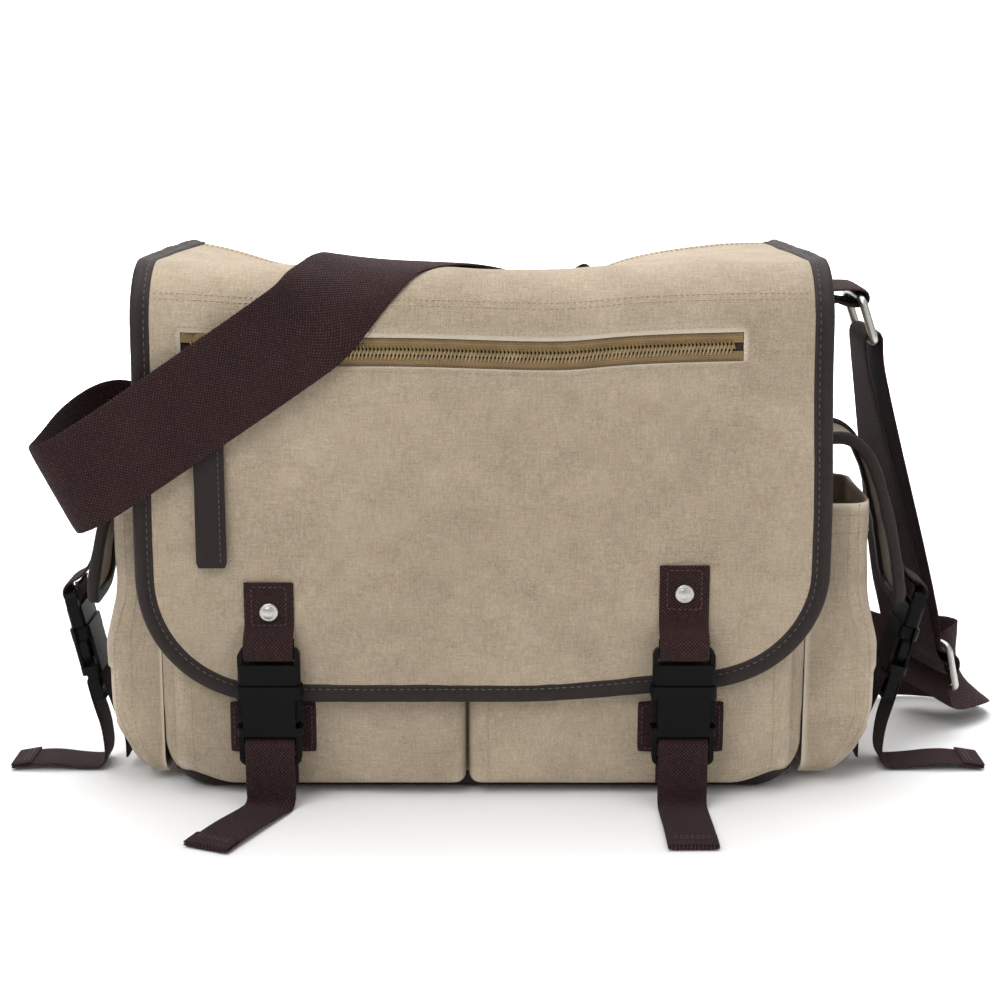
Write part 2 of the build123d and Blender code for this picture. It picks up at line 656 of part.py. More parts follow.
os.makedirs("parts", exist_ok=True)
body_panels()
gusset_and_base()
inner_lining()
rim_binding()
front_pockets()
side_pockets()
flap()
flap_zip()
buckles()
front_webbing()
side_flaps()
side_webbing()
rings()
adjuster()
shoulder_strap()
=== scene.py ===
"""Messenger bag: the looks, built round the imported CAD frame. Lengths below are in millimetres."""

import json
import math

import bpy
import numpy as np
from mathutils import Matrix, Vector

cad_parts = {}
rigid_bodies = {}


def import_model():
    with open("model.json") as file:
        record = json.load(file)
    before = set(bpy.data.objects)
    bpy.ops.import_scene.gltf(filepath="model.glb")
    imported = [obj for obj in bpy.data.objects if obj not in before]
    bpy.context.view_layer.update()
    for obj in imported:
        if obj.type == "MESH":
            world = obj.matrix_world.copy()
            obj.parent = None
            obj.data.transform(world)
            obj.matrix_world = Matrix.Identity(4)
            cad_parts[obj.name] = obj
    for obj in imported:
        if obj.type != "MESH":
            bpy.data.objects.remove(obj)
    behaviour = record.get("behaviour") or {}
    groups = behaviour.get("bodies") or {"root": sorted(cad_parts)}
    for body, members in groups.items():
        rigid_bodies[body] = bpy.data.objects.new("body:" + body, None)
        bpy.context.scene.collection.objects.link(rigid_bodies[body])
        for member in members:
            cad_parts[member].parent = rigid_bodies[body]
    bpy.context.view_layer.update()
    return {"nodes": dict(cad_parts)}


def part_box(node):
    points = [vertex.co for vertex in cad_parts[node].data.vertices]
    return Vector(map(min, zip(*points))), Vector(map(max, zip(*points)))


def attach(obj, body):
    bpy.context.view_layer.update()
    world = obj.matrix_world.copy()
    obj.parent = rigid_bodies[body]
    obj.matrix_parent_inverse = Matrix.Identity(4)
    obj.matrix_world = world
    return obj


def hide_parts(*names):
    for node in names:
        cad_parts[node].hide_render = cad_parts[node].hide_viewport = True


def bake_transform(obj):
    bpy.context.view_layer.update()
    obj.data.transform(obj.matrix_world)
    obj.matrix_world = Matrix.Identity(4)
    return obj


MM = 0.001
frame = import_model()


# Small maths

def ease(start, end, x):
    t = np.clip((np.asarray(x, float) - start) / (end - start), 0, 1)
    return t * t * (3 - 2 * t)


def lattice(ix, iy, seed):
    h = (ix * 374761393 + iy * 668265263 + seed * 97471127) & 0xFFFFFFFF
    h = ((h ^ (h >> 13)) * 1274126177) & 0xFFFFFFFF
    return ((h ^ (h >> 16)) & 0xFFFF) / 32767.5 - 1


def rumple(x, y, size, seed):
    """Smooth noise between -1 and 1 whose bumps are about size mm across."""
    x = np.asarray(x, float) / size + 1000
    y = np.asarray(y, float) / size + 1000
    x, y = np.broadcast_arrays(x, y)
    ix, iy = np.floor(x).astype(np.int64), np.floor(y).astype(np.int64)
    fx, fy = x - ix, y - iy
    fx, fy = fx * fx * (3 - 2 * fx), fy * fy * (3 - 2 * fy)
    low = lattice(ix, iy, seed) * (1 - fx) + lattice(ix + 1, iy, seed) * fx
    high = lattice(ix, iy + 1, seed) * (1 - fx) + lattice(ix + 1, iy + 1, seed) * fx
    return low * (1 - fy) + high * fy


def unit(v):
    v = np.asarray(v, float)
    return v / np.maximum(np.linalg.norm(v, axis=-1, keepdims=True), 1e-9)


def box_mm(node):
    low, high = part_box(node)
    return np.array(low) / MM, np.array(high) / MM


# Meshes

def corner_normals(verts, faces):
    normals = np.zeros_like(verts)
    a, b, c, d = (verts[faces[:, k]] for k in range(4))
    area = np.cross(c - a, d - b)
    for k in range(4):
        np.add.at(normals, faces[:, k], area)
    return unit(normals)


def outward(verts, faces):
    """Turn the faces of a closed mesh so that they look out."""
    a, b, c, d = (verts[faces[:, k]] for k in range(4))
    volume = np.einsum("ij,ij->i", a, np.cross(b, c)).sum() + np.einsum("ij,ij->i", a, np.cross(c, d)).sum()
    return faces if volume > 0 else faces[:, ::-1]


def piece(name, verts, faces, material, uv=None, normals=None, caps=(), crease=55):
    """Make one object from points in mm; caps are extra many-sided faces."""
    used = np.unique(np.concatenate([faces.ravel()] + [np.array(c) for c in caps]))
    new = -np.ones(len(verts), int)
    new[used] = np.arange(len(used))
    polys = new[faces].tolist() + [[int(new[i]) for i in cap] for cap in caps]
    mesh = bpy.data.meshes.new(name)
    mesh.from_pydata((verts[used] * MM).tolist(), [], polys)
    mesh.polygons.foreach_set("use_smooth", [True] * len(mesh.polygons))
    if uv is not None:
        layer = mesh.uv_layers.new(name="cloth")
        corners = np.zeros(len(mesh.loops), np.int32)
        mesh.loops.foreach_get("vertex_index", corners)
        layer.data.foreach_set("uv", (uv[used][corners] * MM).astype(np.float32).ravel())
    mesh.materials.append(material)
    if normals is not None:
        mesh.normals_split_custom_set_from_vertices(normals[used].tolist())
    elif crease:
        mesh.set_sharp_from_angle(angle=math.radians(crease))
    obj = bpy.data.objects.new(name, mesh)
    bpy.context.scene.collection.objects.link(obj)
    return obj


class Sheet:
    """Closed cloth sheet between two grids of points. Rows can be split into pieces that share their edge."""

    def __init__(self, outer, inner, uv, keep=None, loop=False):
        rows, cols, _ = outer.shape
        index = np.arange(rows * cols).reshape(rows, cols)
        if loop:
            index = np.concatenate([index, index[:, :1]], 1)
            cols += 1
        keep = np.ones((rows - 1, cols - 1), bool) if keep is None else keep
        a, b, c, d = index[:-1, :-1], index[:-1, 1:], index[1:, 1:], index[1:, :-1]
        half = outer.shape[0] * outer.shape[1]
        row = np.repeat(np.arange(rows - 1)[:, None], cols - 1, 1)
        faces = [np.stack([a, b, c, d], -1)[keep], np.stack([a, d, c, b], -1)[keep] + half]
        row_of = [row[keep], row[keep]]
        padded = np.zeros((rows + 1, cols + 1), bool)
        padded[1:-1, 1:-1] = keep
        if loop:
            padded[1:-1, 0], padded[1:-1, -1] = keep[:, -1], keep[:, 0]
        above, below = padded[:-1, 1:-1], padded[1:, 1:-1]
        for edge, flip in ((below & ~above, False), (above & ~below, True)):
            i, j = np.nonzero(edge)
            p, q = index[i, j], index[i, j + 1]
            wall = np.stack([q, p, p + half, q + half], -1)
            faces.append(wall[:, ::-1] if flip else wall)
            row_of.append(np.clip(i - (1 if flip else 0), 0, rows - 2))
        left, right = padded[1:-1, :-1], padded[1:-1, 1:]
        for edge, flip in ((right & ~left, False), (left & ~right, True)):
            i, j = np.nonzero(edge)
            p, q = index[i, j], index[i + 1, j]
            wall = np.stack([p, q, q + half, p + half], -1)
            faces.append(wall[:, ::-1] if flip else wall)
            row_of.append(i)
        self.verts = np.concatenate([outer.reshape(-1, 3), inner.reshape(-1, 3)])
        self.faces = outward(self.verts, np.concatenate(faces))
        self.row_of = np.concatenate(row_of)
        self.uv = np.concatenate([uv.reshape(-1, 2)] * 2)

    def whole(self, name, material):
        return piece(name, self.verts, self.faces, material, self.uv)

    def rows(self, name, material, start, end):
        part = (self.row_of >= start) & (self.row_of < end)
        normals = corner_normals(self.verts, self.faces)
        return piece(name, self.verts, self.faces[part], material, self.uv, normals)


class Tube:
    """Closed section carried along a line. Rows can be split into pieces that share their edge."""

    def __init__(self, rings, along, around, loop=False):
        rows, cols, _ = rings.shape
        index = np.arange(rows * cols).reshape(rows, cols)
        if loop:
            index = np.concatenate([index, index[:1]], 0)
        index = np.concatenate([index, index[:, :1]], 1)
        a, b, c, d = index[:-1, :-1], index[:-1, 1:], index[1:, 1:], index[1:, :-1]
        faces = np.stack([a, b, c, d], -1)
        self.row_of = np.repeat(np.arange(faces.shape[0]), cols)
        self.verts = rings.reshape(-1, 3)
        self.faces = outward(self.verts, faces.reshape(-1, 4))
        u, v = np.broadcast_arrays(np.asarray(along, float)[:, None], np.asarray(around, float)[None, :])
        self.uv = np.stack([u, v], -1).reshape(-1, 2)
        self.index = index
        self.loop = loop

    def rows(self, name, material, start=0, end=None, shared=True):
        last = self.index.shape[0] - 1
        end = last if end is None else end
        part = (self.row_of >= start) & (self.row_of < end)
        caps = []
        if not (self.loop and start == 0 and end == last):
            caps = [self.index[start, :-1].tolist(), self.index[end, :-1][::-1].tolist()]
        normals = corner_normals(self.verts, self.faces) if shared else None
        return piece(name, self.verts, self.faces[part], material, self.uv, normals, caps)


def lengths(points):
    return np.concatenate([[0], np.cumsum(np.linalg.norm(np.diff(points, axis=0), axis=1))])


def even(points, pitch, *others):
    """Points (and values that go with them) spaced evenly along a line."""
    s = lengths(points)
    steps = np.linspace(0, s[-1], max(int(round(s[-1] / pitch)), 2) + 1)
    out = [np.stack([np.interp(steps, s, points[:, k]) for k in range(points.shape[1])], 1)]
    for other in others:
        out.append(np.stack([np.interp(steps, s, other[:, k]) for k in range(other.shape[1])], 1))
    return out if others else out[0]


def cut_corners(stations, rounds):
    for _ in range(rounds):
        a, b = stations[:-1], stations[1:]
        middle = np.stack([a + (b - a) * 0.25, a + (b - a) * 0.75], 1).reshape(-1, stations.shape[1])
        stations = np.concatenate([stations[:1], middle, stations[-1:]])
    return stations


BAND_ACROSS = np.array([-1, -0.985, -0.94, -0.86, -0.7, -0.5, -0.25, 0, 0.25, 0.5, 0.7, 0.86, 0.94, 0.985, 1])


def band(stations, width, thick, rounds=3, pitch=3.0, shape=None):
    """Webbing along (place, width direction) corners. shape(points) may move its points in the end."""
    stations = cut_corners(np.array([[*p, *w] for p, w in stations], float), rounds)
    places, wide = even(stations[:, :3], pitch, stations[:, 3:])
    along = np.gradient(places, axis=0)
    out = unit(np.cross(along, wide))
    wide = unit(np.cross(out, along))
    height = (1 - np.abs(BAND_ACROSS) ** 9) ** 0.5
    w = np.concatenate([BAND_ACROSS, BAND_ACROSS[-2:0:-1]]) * width / 2
    h = np.concatenate([height, -height[-2:0:-1]]) * thick / 2
    s = lengths(places)
    thin = 1 + 0.04 * rumple(s, 0, 9, 5)[:, None, None]
    rings = places[:, None] + wide[:, None] * w[None, :, None] + out[:, None] * h[None, :, None] * thin
    if shape is not None:
        rings = shape(rings.reshape(-1, 3)).reshape(rings.shape)
        places = shape(places)
    return Tube(rings, s, w), places, wide, out, s


def threads(name, runs, material, length=3.0, pitch=4.2, radius=0.32, lift=0.0):
    """Sewn stitches. Each run is (points, normals): a stitch is a small bowed bead lying along it."""
    verts, faces = [], []
    sides, rings = 5, 4
    profile = np.array([0.25, 1.0, 1.0, 0.25])
    rise = np.array([-0.7, 0.35, 0.35, -0.7])
    at = np.array([0.0, 0.28, 0.72, 1.0]) - 0.5
    base = 0
    for points, normals in runs:
        points, normals = even(np.asarray(points, float), 0.5, np.asarray(normals, float))
        s = lengths(points)
        for start in np.arange(pitch * 0.2, s[-1] - length, pitch):
            i, j = np.searchsorted(s, [start, start + length])
            j = min(j, len(points) - 1)
            a, b = points[i], points[j]
            n = unit(normals[(i + j) // 2])
            d = unit(b - a)
            side = unit(np.cross(d, n))
            n = np.cross(side, d)
            middle = (a + b) / 2
            for k in range(rings):
                centre = middle + d * at[k] * length + n * (rise[k] * radius + lift)
                for m in range(sides):
                    angle = 2 * math.pi * m / sides
                    verts.append(centre + (side * math.cos(angle) + n * math.sin(angle)) * radius *
                        profile[k])
            for k in range(rings - 1):
                for m in range(sides):
                    p = base + k * sides + m
                    q = base + k * sides + (m + 1) % sides
                    faces.append([p, q, q + sides, p + sides])
            base += rings * sides
    verts, faces = np.array(verts), np.array(faces)
    return piece(name, verts, outward(verts, faces), material, crease=0)


# Materials

def linear(r, g, b):
    """Display colour, 0 to 255, as the linear colour a shader takes."""
    return tuple(((c / 255 + 0.055) / 1.055) ** 2.4 if c > 10 else c / 255 / 12.92 for c in (r, g, b)) + (1,)


class Look:
    """Node material with short calls for the nodes used here."""

    def __init__(self, name, slot):
        self.material = bpy.data.materials.new(name)
        self.material.use_nodes = True
        self.tree = self.material.node_tree
        self.surface = self.tree.nodes["Principled BSDF"]
        self.slot = slot

    def node(self, kind, inputs=None, **settings):
        made = self.tree.nodes.new("ShaderNode" + kind)
        for key, value in settings.items():
            setattr(made, key, value)
        for key, value in (inputs or {}).items():
            self.put(made.inputs[key], value)
        return made

    def put(self, socket, value):
        if isinstance(value, bpy.types.NodeSocket):
            self.tree.links.new(value, socket)
        else:
            socket.default_value = value

    def set(self, **values):
        for key, value in values.items():
            self.put(self.surface.inputs[key.replace("_", " ")], value)

    def calc(self, operation, a, b=0.0, c=0.0, clamp=False):
        made = self.node("Math", {0: a, 1: b, 2: c}, operation=operation, use_clamp=clamp)
        return made.outputs[0]

    def cloth(self):
        """Along and across the cloth, in metres."""
        split = self.node("SeparateXYZ", {0: self.node("UVMap", uv_map="cloth").outputs[0]})
        return split.outputs[0], split.outputs[1]

    def place(self):
        return self.node("TexCoord").outputs["Object"]

    def noise(self, vector, scale, detail=3.0, rough=0.55):
        return self.node("TexNoise", {"Vector": vector, "Scale": scale, "Detail": detail,
            "Roughness": rough}).outputs[0]

    def joined(self, x, y, z=0.0):
        return self.node("CombineXYZ", {0: x, 1: y, 2: z}).outputs[0]

    def wave(self, coordinate, pitch, shift=0.0):
        turn = self.calc("MULTIPLY_ADD", coordinate, 2 * math.pi / (pitch * MM), shift)
        return self.calc("SINE", turn)

    def mix(self, share, a, b, kind="MIX"):
        made = self.node("Mix", data_type="RGBA", blend_type=kind, clamp_factor=True)
        self.put(made.inputs["Factor"], share)
        self.put(made.inputs[6], a)
        self.put(made.inputs[7], b)
        return made.outputs[2]

    def ramp(self, value, low, high):
        return self.node("MapRange", {0: value, 1: low, 2: high, 3: 0.0, 4: 1.0}, clamp=True).outputs[0]

    def bump(self, height, distance, strength=1.0, before=None):
        made = self.node("Bump", {"Height": height, "Distance": distance * MM, "Strength": strength})
        if before is not None:
            self.put(made.inputs["Normal"], before)
        return made.outputs[0]


def canvas_look(name="canvas", dark=(128, 113, 93), light=(190, 174, 152), worn=(208, 196, 177)):
    look = Look(name, "canvas")
    u, v = look.cloth()
    place = look.place()
    patches = look.noise(place, 9.0, 4.0, 0.6)
    clouds = look.noise(place, 45.0, 3.0, 0.6)
    slub_u = look.noise(look.joined(look.calc("MULTIPLY", u, 90.0), look.calc("MULTIPLY", v, 1300.0)), 1.0,
        2.0)
    slub_v = look.noise(look.joined(look.calc("MULTIPLY", u, 1300.0), look.calc("MULTIPLY", v, 90.0), 7.0),
        1.0, 2.0)
    weave = look.calc("MULTIPLY", look.wave(u, 1.25), look.wave(v, 1.25))
    fleck = look.noise(place, 900.0, 1.0)
    tone = look.calc("MULTIPLY_ADD", patches, 0.75, look.calc("MULTIPLY_ADD", clouds, 0.45, -0.14))
    tone = look.calc("ADD", tone, look.calc("MULTIPLY_ADD", slub_u, 0.55, -0.27))
    tone = look.calc("ADD", tone, look.calc("MULTIPLY_ADD", slub_v, 0.55, -0.27))
    tone = look.calc("MULTIPLY_ADD", weave, 0.22, tone)
    tone = look.calc("MULTIPLY_ADD", look.calc("SUBTRACT", fleck, 0.5), 0.7, tone)
    colour = look.mix(tone, linear(*dark), linear(*light))
    edge = look.node("NewGeometry").outputs["Pointiness"]
    colour = look.mix(look.ramp(edge, 0.52, 0.60), colour, linear(*worn))
    height = look.calc("ADD", look.calc("MULTIPLY", weave, 0.5), look.calc("ADD", slub_u, slub_v))
    soft = look.bump(look.noise(place, 120.0, 3.0), 0.9, 0.5)
    look.set(Base_Color=colour, Roughness=0.94, Sheen_Weight=0.08, Sheen_Roughness=0.6)
    look.set(Normal=look.bump(height, 0.16, 0.9, soft))
    return look


def leather_look(name="leather", dark=(22, 17, 16), light=(54, 45, 43)):
    look = Look(name, "leather")
    place = look.place()
    cells = look.node("TexVoronoi", {"Vector": place, "Scale": 1100.0}, feature="DISTANCE_TO_EDGE").outputs[0]
    grain = look.ramp(cells, 0.0, 0.25)
    clouds = look.noise(place, 60.0, 4.0, 0.6)
    edge = look.ramp(look.node("NewGeometry").outputs["Pointiness"], 0.51, 0.60)
    colour = look.mix(look.calc("MULTIPLY_ADD", grain, 0.3, look.calc("MULTIPLY", clouds, 0.5)),
        linear(*dark), linear(*light))
    colour = look.mix(look.calc("MULTIPLY", edge, 0.4), colour, linear(72, 63, 60))
    look.set(Base_Color=colour, Roughness=look.calc("MULTIPLY_ADD", clouds, 0.3, 0.45),
        Specular_IOR_Level=0.2)
    wrinkle = look.bump(look.noise(place, 160.0, 3.0), 0.5, 0.5)
    look.set(Normal=look.bump(grain, 0.10, 0.7, wrinkle))
    return look


def webbing_look(name="webbing", dark=(24, 11, 12), light=(58, 34, 35), dots=(104, 74, 72)):
    look = Look(name, "webbing")
    u, v = look.cloth()
    place = look.place()
    rib = look.wave(v, 2.1)
    basket = look.calc("MULTIPLY", look.wave(u, 2.1), rib)
    fine = look.calc("MULTIPLY", look.wave(u, 1.05, 0.8), look.wave(v, 1.05))
    fuzz = look.noise(place, 700.0, 2.0)
    clouds = look.noise(place, 30.0, 3.0)
    tone = look.calc("MULTIPLY_ADD", basket, 0.30, look.calc("MULTIPLY_ADD", clouds, 0.6, 0.05))
    tone = look.calc("MULTIPLY_ADD", fuzz, 0.35, look.calc("ADD", tone, -0.1))
    colour = look.mix(tone, linear(*dark), linear(*light))
    spot = look.ramp(look.calc("MULTIPLY_ADD", fuzz, 0.9, look.calc("MULTIPLY", basket, 0.5)), 0.70, 0.98)
    colour = look.mix(look.calc("MULTIPLY", spot, 0.5), colour, linear(*dots))
    look.set(Base_Color=colour, Roughness=0.9, Sheen_Weight=0.04, Specular_IOR_Level=0.2)
    look.set(Normal=look.bump(look.calc("MULTIPLY_ADD", fine, 0.35, basket), 0.28, 0.9))
    return look


def plain_weave_look(name, slot, dark, light, pitch=0.8, rough=0.8, ribs=0.0):
    look = Look(name, slot)
    u, v = look.cloth()
    place = look.place()
    weave = look.calc("MULTIPLY", look.wave(u, pitch), look.wave(v, pitch))
    if ribs:
        weave = look.calc("MULTIPLY_ADD", look.wave(v, ribs), 0.8, weave)
    clouds = look.noise(place, 70.0, 3.0)
    tone = look.calc("MULTIPLY_ADD", weave, 0.22, look.calc("MULTIPLY_ADD", clouds, 0.7, 0.1))
    look.set(Base_Color=look.mix(tone, linear(*dark), linear(*light)), Roughness=rough, Sheen_Weight=0.15)
    look.set(Normal=look.bump(weave, 0.12, 0.8))
    return look


def hard_look(name, slot, dark, light, metal=0.0, rough=0.35, grain=900.0, depth=0.03, shine=(200, 195, 185),
        gloss=0.5):
    look = Look(name, slot)
    place = look.place()
    clouds = look.noise(place, 90.0, 4.0, 0.65)
    fine = look.noise(place, grain, 3.0)
    edge = look.ramp(look.node("NewGeometry").outputs["Pointiness"], 0.52, 0.62)
    colour = look.mix(clouds, linear(*dark), linear(*light))
    colour = look.mix(look.calc("MULTIPLY", edge, 0.35), colour, linear(*shine))
    look.set(Base_Color=colour, Metallic=metal, Roughness=look.calc("MULTIPLY_ADD", fine, 0.25, rough - 0.12))
    look.set(Specular_IOR_Level=gloss)
    look.set(Normal=look.bump(fine, depth, 0.6))
    return look


def thread_look(name, slot, colour, light):
    look = Look(name, slot)
    place = look.place()
    twist = look.noise(place, 1500.0, 2.0)
    look.set(Base_Color=look.mix(twist, linear(*colour), linear(*light)), Roughness=0.7, Sheen_Weight=0.2)
    look.set(Normal=look.bump(twist, 0.1, 0.8))
    return look


CANVAS = canvas_look()
LEATHER = leather_look()
WEBBING = webbing_look()
LINING = plain_weave_look("lining", "lining", (38, 31, 27), (66, 56, 48))
BOARD = plain_weave_look("board", "board", (70, 64, 58), (104, 96, 88), pitch=2.5)
TAPE = plain_weave_look("zip_tape", "zip_tape", (98, 76, 46), (158, 131, 88), pitch=0.7, ribs=1.3)
PLASTIC = hard_look("buckle", "buckle", (4, 4, 5), (9, 9, 10), rough=0.5, depth=0.02, shine=(16, 16, 18),
    gloss=0.12)
NICKEL = hard_look("nickel", "nickel", (168, 166, 160), (214, 212, 206), metal=1.0, rough=0.34, depth=0.02)
BRASS = hard_look("zip_metal", "zip_metal", (84, 66, 40), (190, 164, 116), metal=0.9, rough=0.4, depth=0.03)
CANVAS_THREAD = thread_look("canvas_thread", "canvas", (136, 118, 90), (188, 170, 142))
LEATHER_THREAD = thread_look("leather_thread", "leather", (44, 36, 34), (96, 84, 78))
WEBBING_THREAD = thread_look("webbing_thread", "webbing", (34, 20, 20), (86, 58, 56))
ZIP_THREAD = thread_look("zip_thread", "zip_tape", (58, 44, 30), (110, 88, 58))


def finish_piece(obj, look, *nodes, body=None, blend=None):
    """Hide the CAD parts that a piece stands for and attach it to the body it moves with; given a blend, only
    bake its place into its mesh.
    """
    if nodes:
        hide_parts(*nodes)
    if blend:
        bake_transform(obj)
    else:
        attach(obj, body)
    return obj


def sew(name, runs, look, length=3.0, pitch=4.2, radius=0.32, body=None, blend=None):
    """Rows of stitches as one piece, in their own thread."""
    finish_piece(threads(name, runs, look.material, length, pitch, radius), look, body=body, blend=blend)


# Flap: a sheet measured by x and by t, its distance along the cloth from the back edge

HALF = 191.0
BACK_HALF = 181.0
TOP = box_mm("flap_top_canvas")[1][2]
FACE = box_mm("flap_front_canvas")[0][1]
LOW = box_mm("flap_front_canvas")[0][2]
BACK_EDGE = box_mm("flap_top_canvas")[1][1]
BEND = 35.0
BEND_Y = FACE + BEND
BEND_Z = TOP - BEND
T_BEND = BACK_EDGE - BEND_Y
T_FRONT = T_BEND + BEND * math.pi / 2
CORNER = 70.0
ZIP_LOW, ZIP_HIGH = box_mm("zip_coil")
ZIP_Z = (ZIP_LOW[2] + ZIP_HIGH[2]) / 2
ZIP_X = (-165.0, 143.0)
WINDOW = 8.0
FLAP_CUT = 77.0
HINGE_BLEND = ("bag", "flap_top", (0, BACK_EDGE, 290), (0, 10, 290))
FOLD_BLEND = ("flap_top", "flap_front", (0, BEND_Y, TOP), (0, FACE, BEND_Z))


def sag(x, y, z):
    """How far the top of the bag drops: most at the back edge, under the strap."""
    spread = np.where(x < 42, 60, 30)
    slump = 16 * ease(-182, -105, x) * (1 - ease(20, 170, x))
    pull = 12 * np.exp(-((x - 42) / spread) ** 2)
    return (slump + pull) * (0.2 + 0.8 * ease(BEND_Y, BACK_EDGE, y)) * ease(90, 270, z)


def flap_point(x, t, depth, shaped=True):
    """Point on the flap, depth mm in from its outer face, and the way the face looks."""
    x, t, depth = np.broadcast_arrays(np.asarray(x, float), np.asarray(t, float), np.asarray(depth, float))
    turn = np.clip((t - T_BEND) / BEND, 0, math.pi / 2)
    y = np.where(t < T_BEND, BACK_EDGE - t, BEND_Y - BEND * np.sin(turn))
    z = np.where(t < T_BEND, TOP, BEND_Z + BEND * np.cos(turn)) - np.maximum(t - T_FRONT, 0)
    normal = np.stack([0 * x, -np.sin(turn), np.cos(turn)], -1)
    point = np.stack([x, y, z], -1) - normal * depth[..., None]
    if not shaped:
        return point, normal
    on_front = ease(T_FRONT - 20, T_FRONT + 60, t)
    on_top = 1 - ease(90, 150, t)
    middle = 1 - np.clip(np.abs(x) / HALF, 0, 1) ** 2
    swell = on_front * 2.6 * middle * np.sin(math.pi * np.clip((t - T_FRONT) / 210, 0, 1)) ** 0.8
    swell = swell + 0.7 * rumple(x, t, 62, 1) * on_front + 0.35 * rumple(x, t, 23, 2)
    swell = swell + on_top * (1.8 * rumple(x * 0.8, t, 40, 3) * middle * ease(0, 25, t) + 0.6 * rumple(x, t,
        17, 4) * middle)
    seam = np.exp(-((t - T_FRONT - (BEND_Z - ZIP_Z)) / 2.5) ** 2)
    seam = seam * (ease(ZIP_X[1], ZIP_X[1] + 4, x) + ease(-ZIP_X[0], -ZIP_X[0] + 4, -x))
    point = point + normal * (swell + 0.5 * seam + 0.4)[..., None]
    point[..., 2] -= sag(x, point[..., 1], point[..., 2])
    point[..., 2] += 8 * ease(20, 150, x) * (1 - ease(LOW, LOW + 150, z)) * on_front
    return point, normal


def flap_half(t):
    """Half width of the flap at t."""
    t = np.asarray(t, float)
    wide = BACK_HALF + (HALF - BACK_HALF) * np.clip(t / T_BEND, 0, 1) + 2.5 * ease(T_FRONT, T_FRONT + 120, t)
    up = np.clip(T_FRONT + BEND_Z - LOW - t, 0, CORNER)
    return wide - CORNER + np.sqrt(np.maximum(CORNER ** 2 - (CORNER - up) ** 2, 0))


T_END = T_FRONT + BEND_Z - LOW
T_ZIP = T_FRONT + BEND_Z - ZIP_Z
corner_rows = T_END - CORNER * (1 - np.cos(np.linspace(math.pi / 2, 0, 20)))
FLAP_T = np.unique(np.round(np.concatenate([
    np.linspace(0, FLAP_CUT, 22), np.linspace(FLAP_CUT, T_BEND, 12), np.linspace(T_BEND, T_FRONT, 14),
    [T_ZIP - WINDOW, T_ZIP + WINDOW], np.linspace(T_FRONT, corner_rows[0], 42), corner_rows]), 3))
FLAP_X = np.concatenate([np.linspace(-HALF, ZIP_X[0], 8), np.linspace(*ZIP_X, 90)[1:-1],
    np.linspace(ZIP_X[1], HALF, 14)])


def flap_sheet(depth, thick, window=False, rows=FLAP_T, half=flap_half, columns=FLAP_X):
    wide = np.asarray(half(rows))[:, None]
    x = columns[None, :] / HALF * wide
    straight = rows[:, None] < corner_rows[0]
    x = np.where(straight & (np.abs(wide - HALF) < 0.01), columns[None, :], x)
    t = np.broadcast_to(rows[:, None], x.shape)
    outer, _ = flap_point(x, t, depth)
    inner, _ = flap_point(x, t, depth + thick)
    keep = None
    if window:
        mid_t = (rows[:-1] + rows[1:]) / 2
        mid_x = (columns[:-1] + columns[1:]) / 2
        keep = ~((np.abs(mid_t - T_ZIP) < WINDOW)[:, None] & ((mid_x > ZIP_X[0]) & (mid_x < ZIP_X[1]))[None,
            :])
    return Sheet(outer, inner, np.stack([x, t], -1), keep)


def build_flap():
    cut = int(np.argmin(np.abs(FLAP_T - FLAP_CUT)))
    for layer, depth, thick, look in (("canvas", 0.0, 1.4, CANVAS), ("lining", 3.0, 1.0, LINING)):
        sheet = flap_sheet(depth, thick, window=layer == "canvas")
        top = sheet.rows(f"flap_{layer}_top_cloth", look.material, 0, cut)
        front = sheet.rows(f"flap_{layer}_front_cloth", look.material, cut, len(FLAP_T))
        finish_piece(top, look, f"flap_top_{layer}", blend=HINGE_BLEND)
        finish_piece(front, look, f"flap_front_{layer}", blend=FOLD_BLEND)
    rows = np.linspace(T_FRONT + 2, T_FRONT + BEND_Z - 92, 30)
    bag = flap_sheet(1.9, 0.7, rows=rows, half=lambda t: np.full(len(t), HALF),
        columns=np.linspace(ZIP_X[0] - 8, ZIP_X[1] + 8, 40))
    finish_piece(bag.whole("zip_pocket_cloth", LINING.material), LINING, "zip_pocket_bag", body="flap_front")


def flap_edge():
    """Line round the flap's free edge as (x, t), from the back left to the back right."""
    down = np.concatenate([np.arange(0, corner_rows[0], 3.0), corner_rows])
    left = np.stack([-flap_half(down), down], 1)
    along = np.linspace(left[-1, 0], -left[-1, 0], 80)[1:-1]
    low = np.stack([along, np.full_like(along, T_END)], 1)
    right = left[::-1] * [-1, 1]
    return np.concatenate([left, low, right])


# Section of the leather binding: out past the cloth's edge, and up from the cloth's middle
BINDING = np.array([
    (1.5, 0), (1.5, 1.6), (0.7, 3.2), (-0.9, 4.1), (-3.0, 4.2), (-4.8, 3.6), (-6.2, 2.9), (-7.2, 3.0),
        (-8.3, 2.9),
    (-9.1, 2.3), (-9.2, 1.0), (-9.2, -1.2), (-9.0, -2.4), (-8.2, -3.0), (-6.2, -3.0), (-3.0, -3.3),
        (-0.9, -3.3),
    (0.7, -2.7), (1.4, -1.4)])


def bound_edge(points, normals, section, seed=11, slim=1.0):
    """Rings of a leather binding along an edge, with its slightly puckered face."""
    along = unit(np.gradient(points, axis=0))
    out = unit(np.cross(along, normals))
    up = unit(np.cross(out, along))
    s = lengths(points)
    pucker = 1 + 0.07 * rumple(s, 0, 7, seed) + 0.05 * rumple(s, 0, 23, seed + 1)
    o = section[:, 0][None, :, None]
    h = section[:, 1][None, :, None] * pucker[:, None, None] * slim
    return points[:, None] + out[:, None] * o + up[:, None] * h, out, up, s


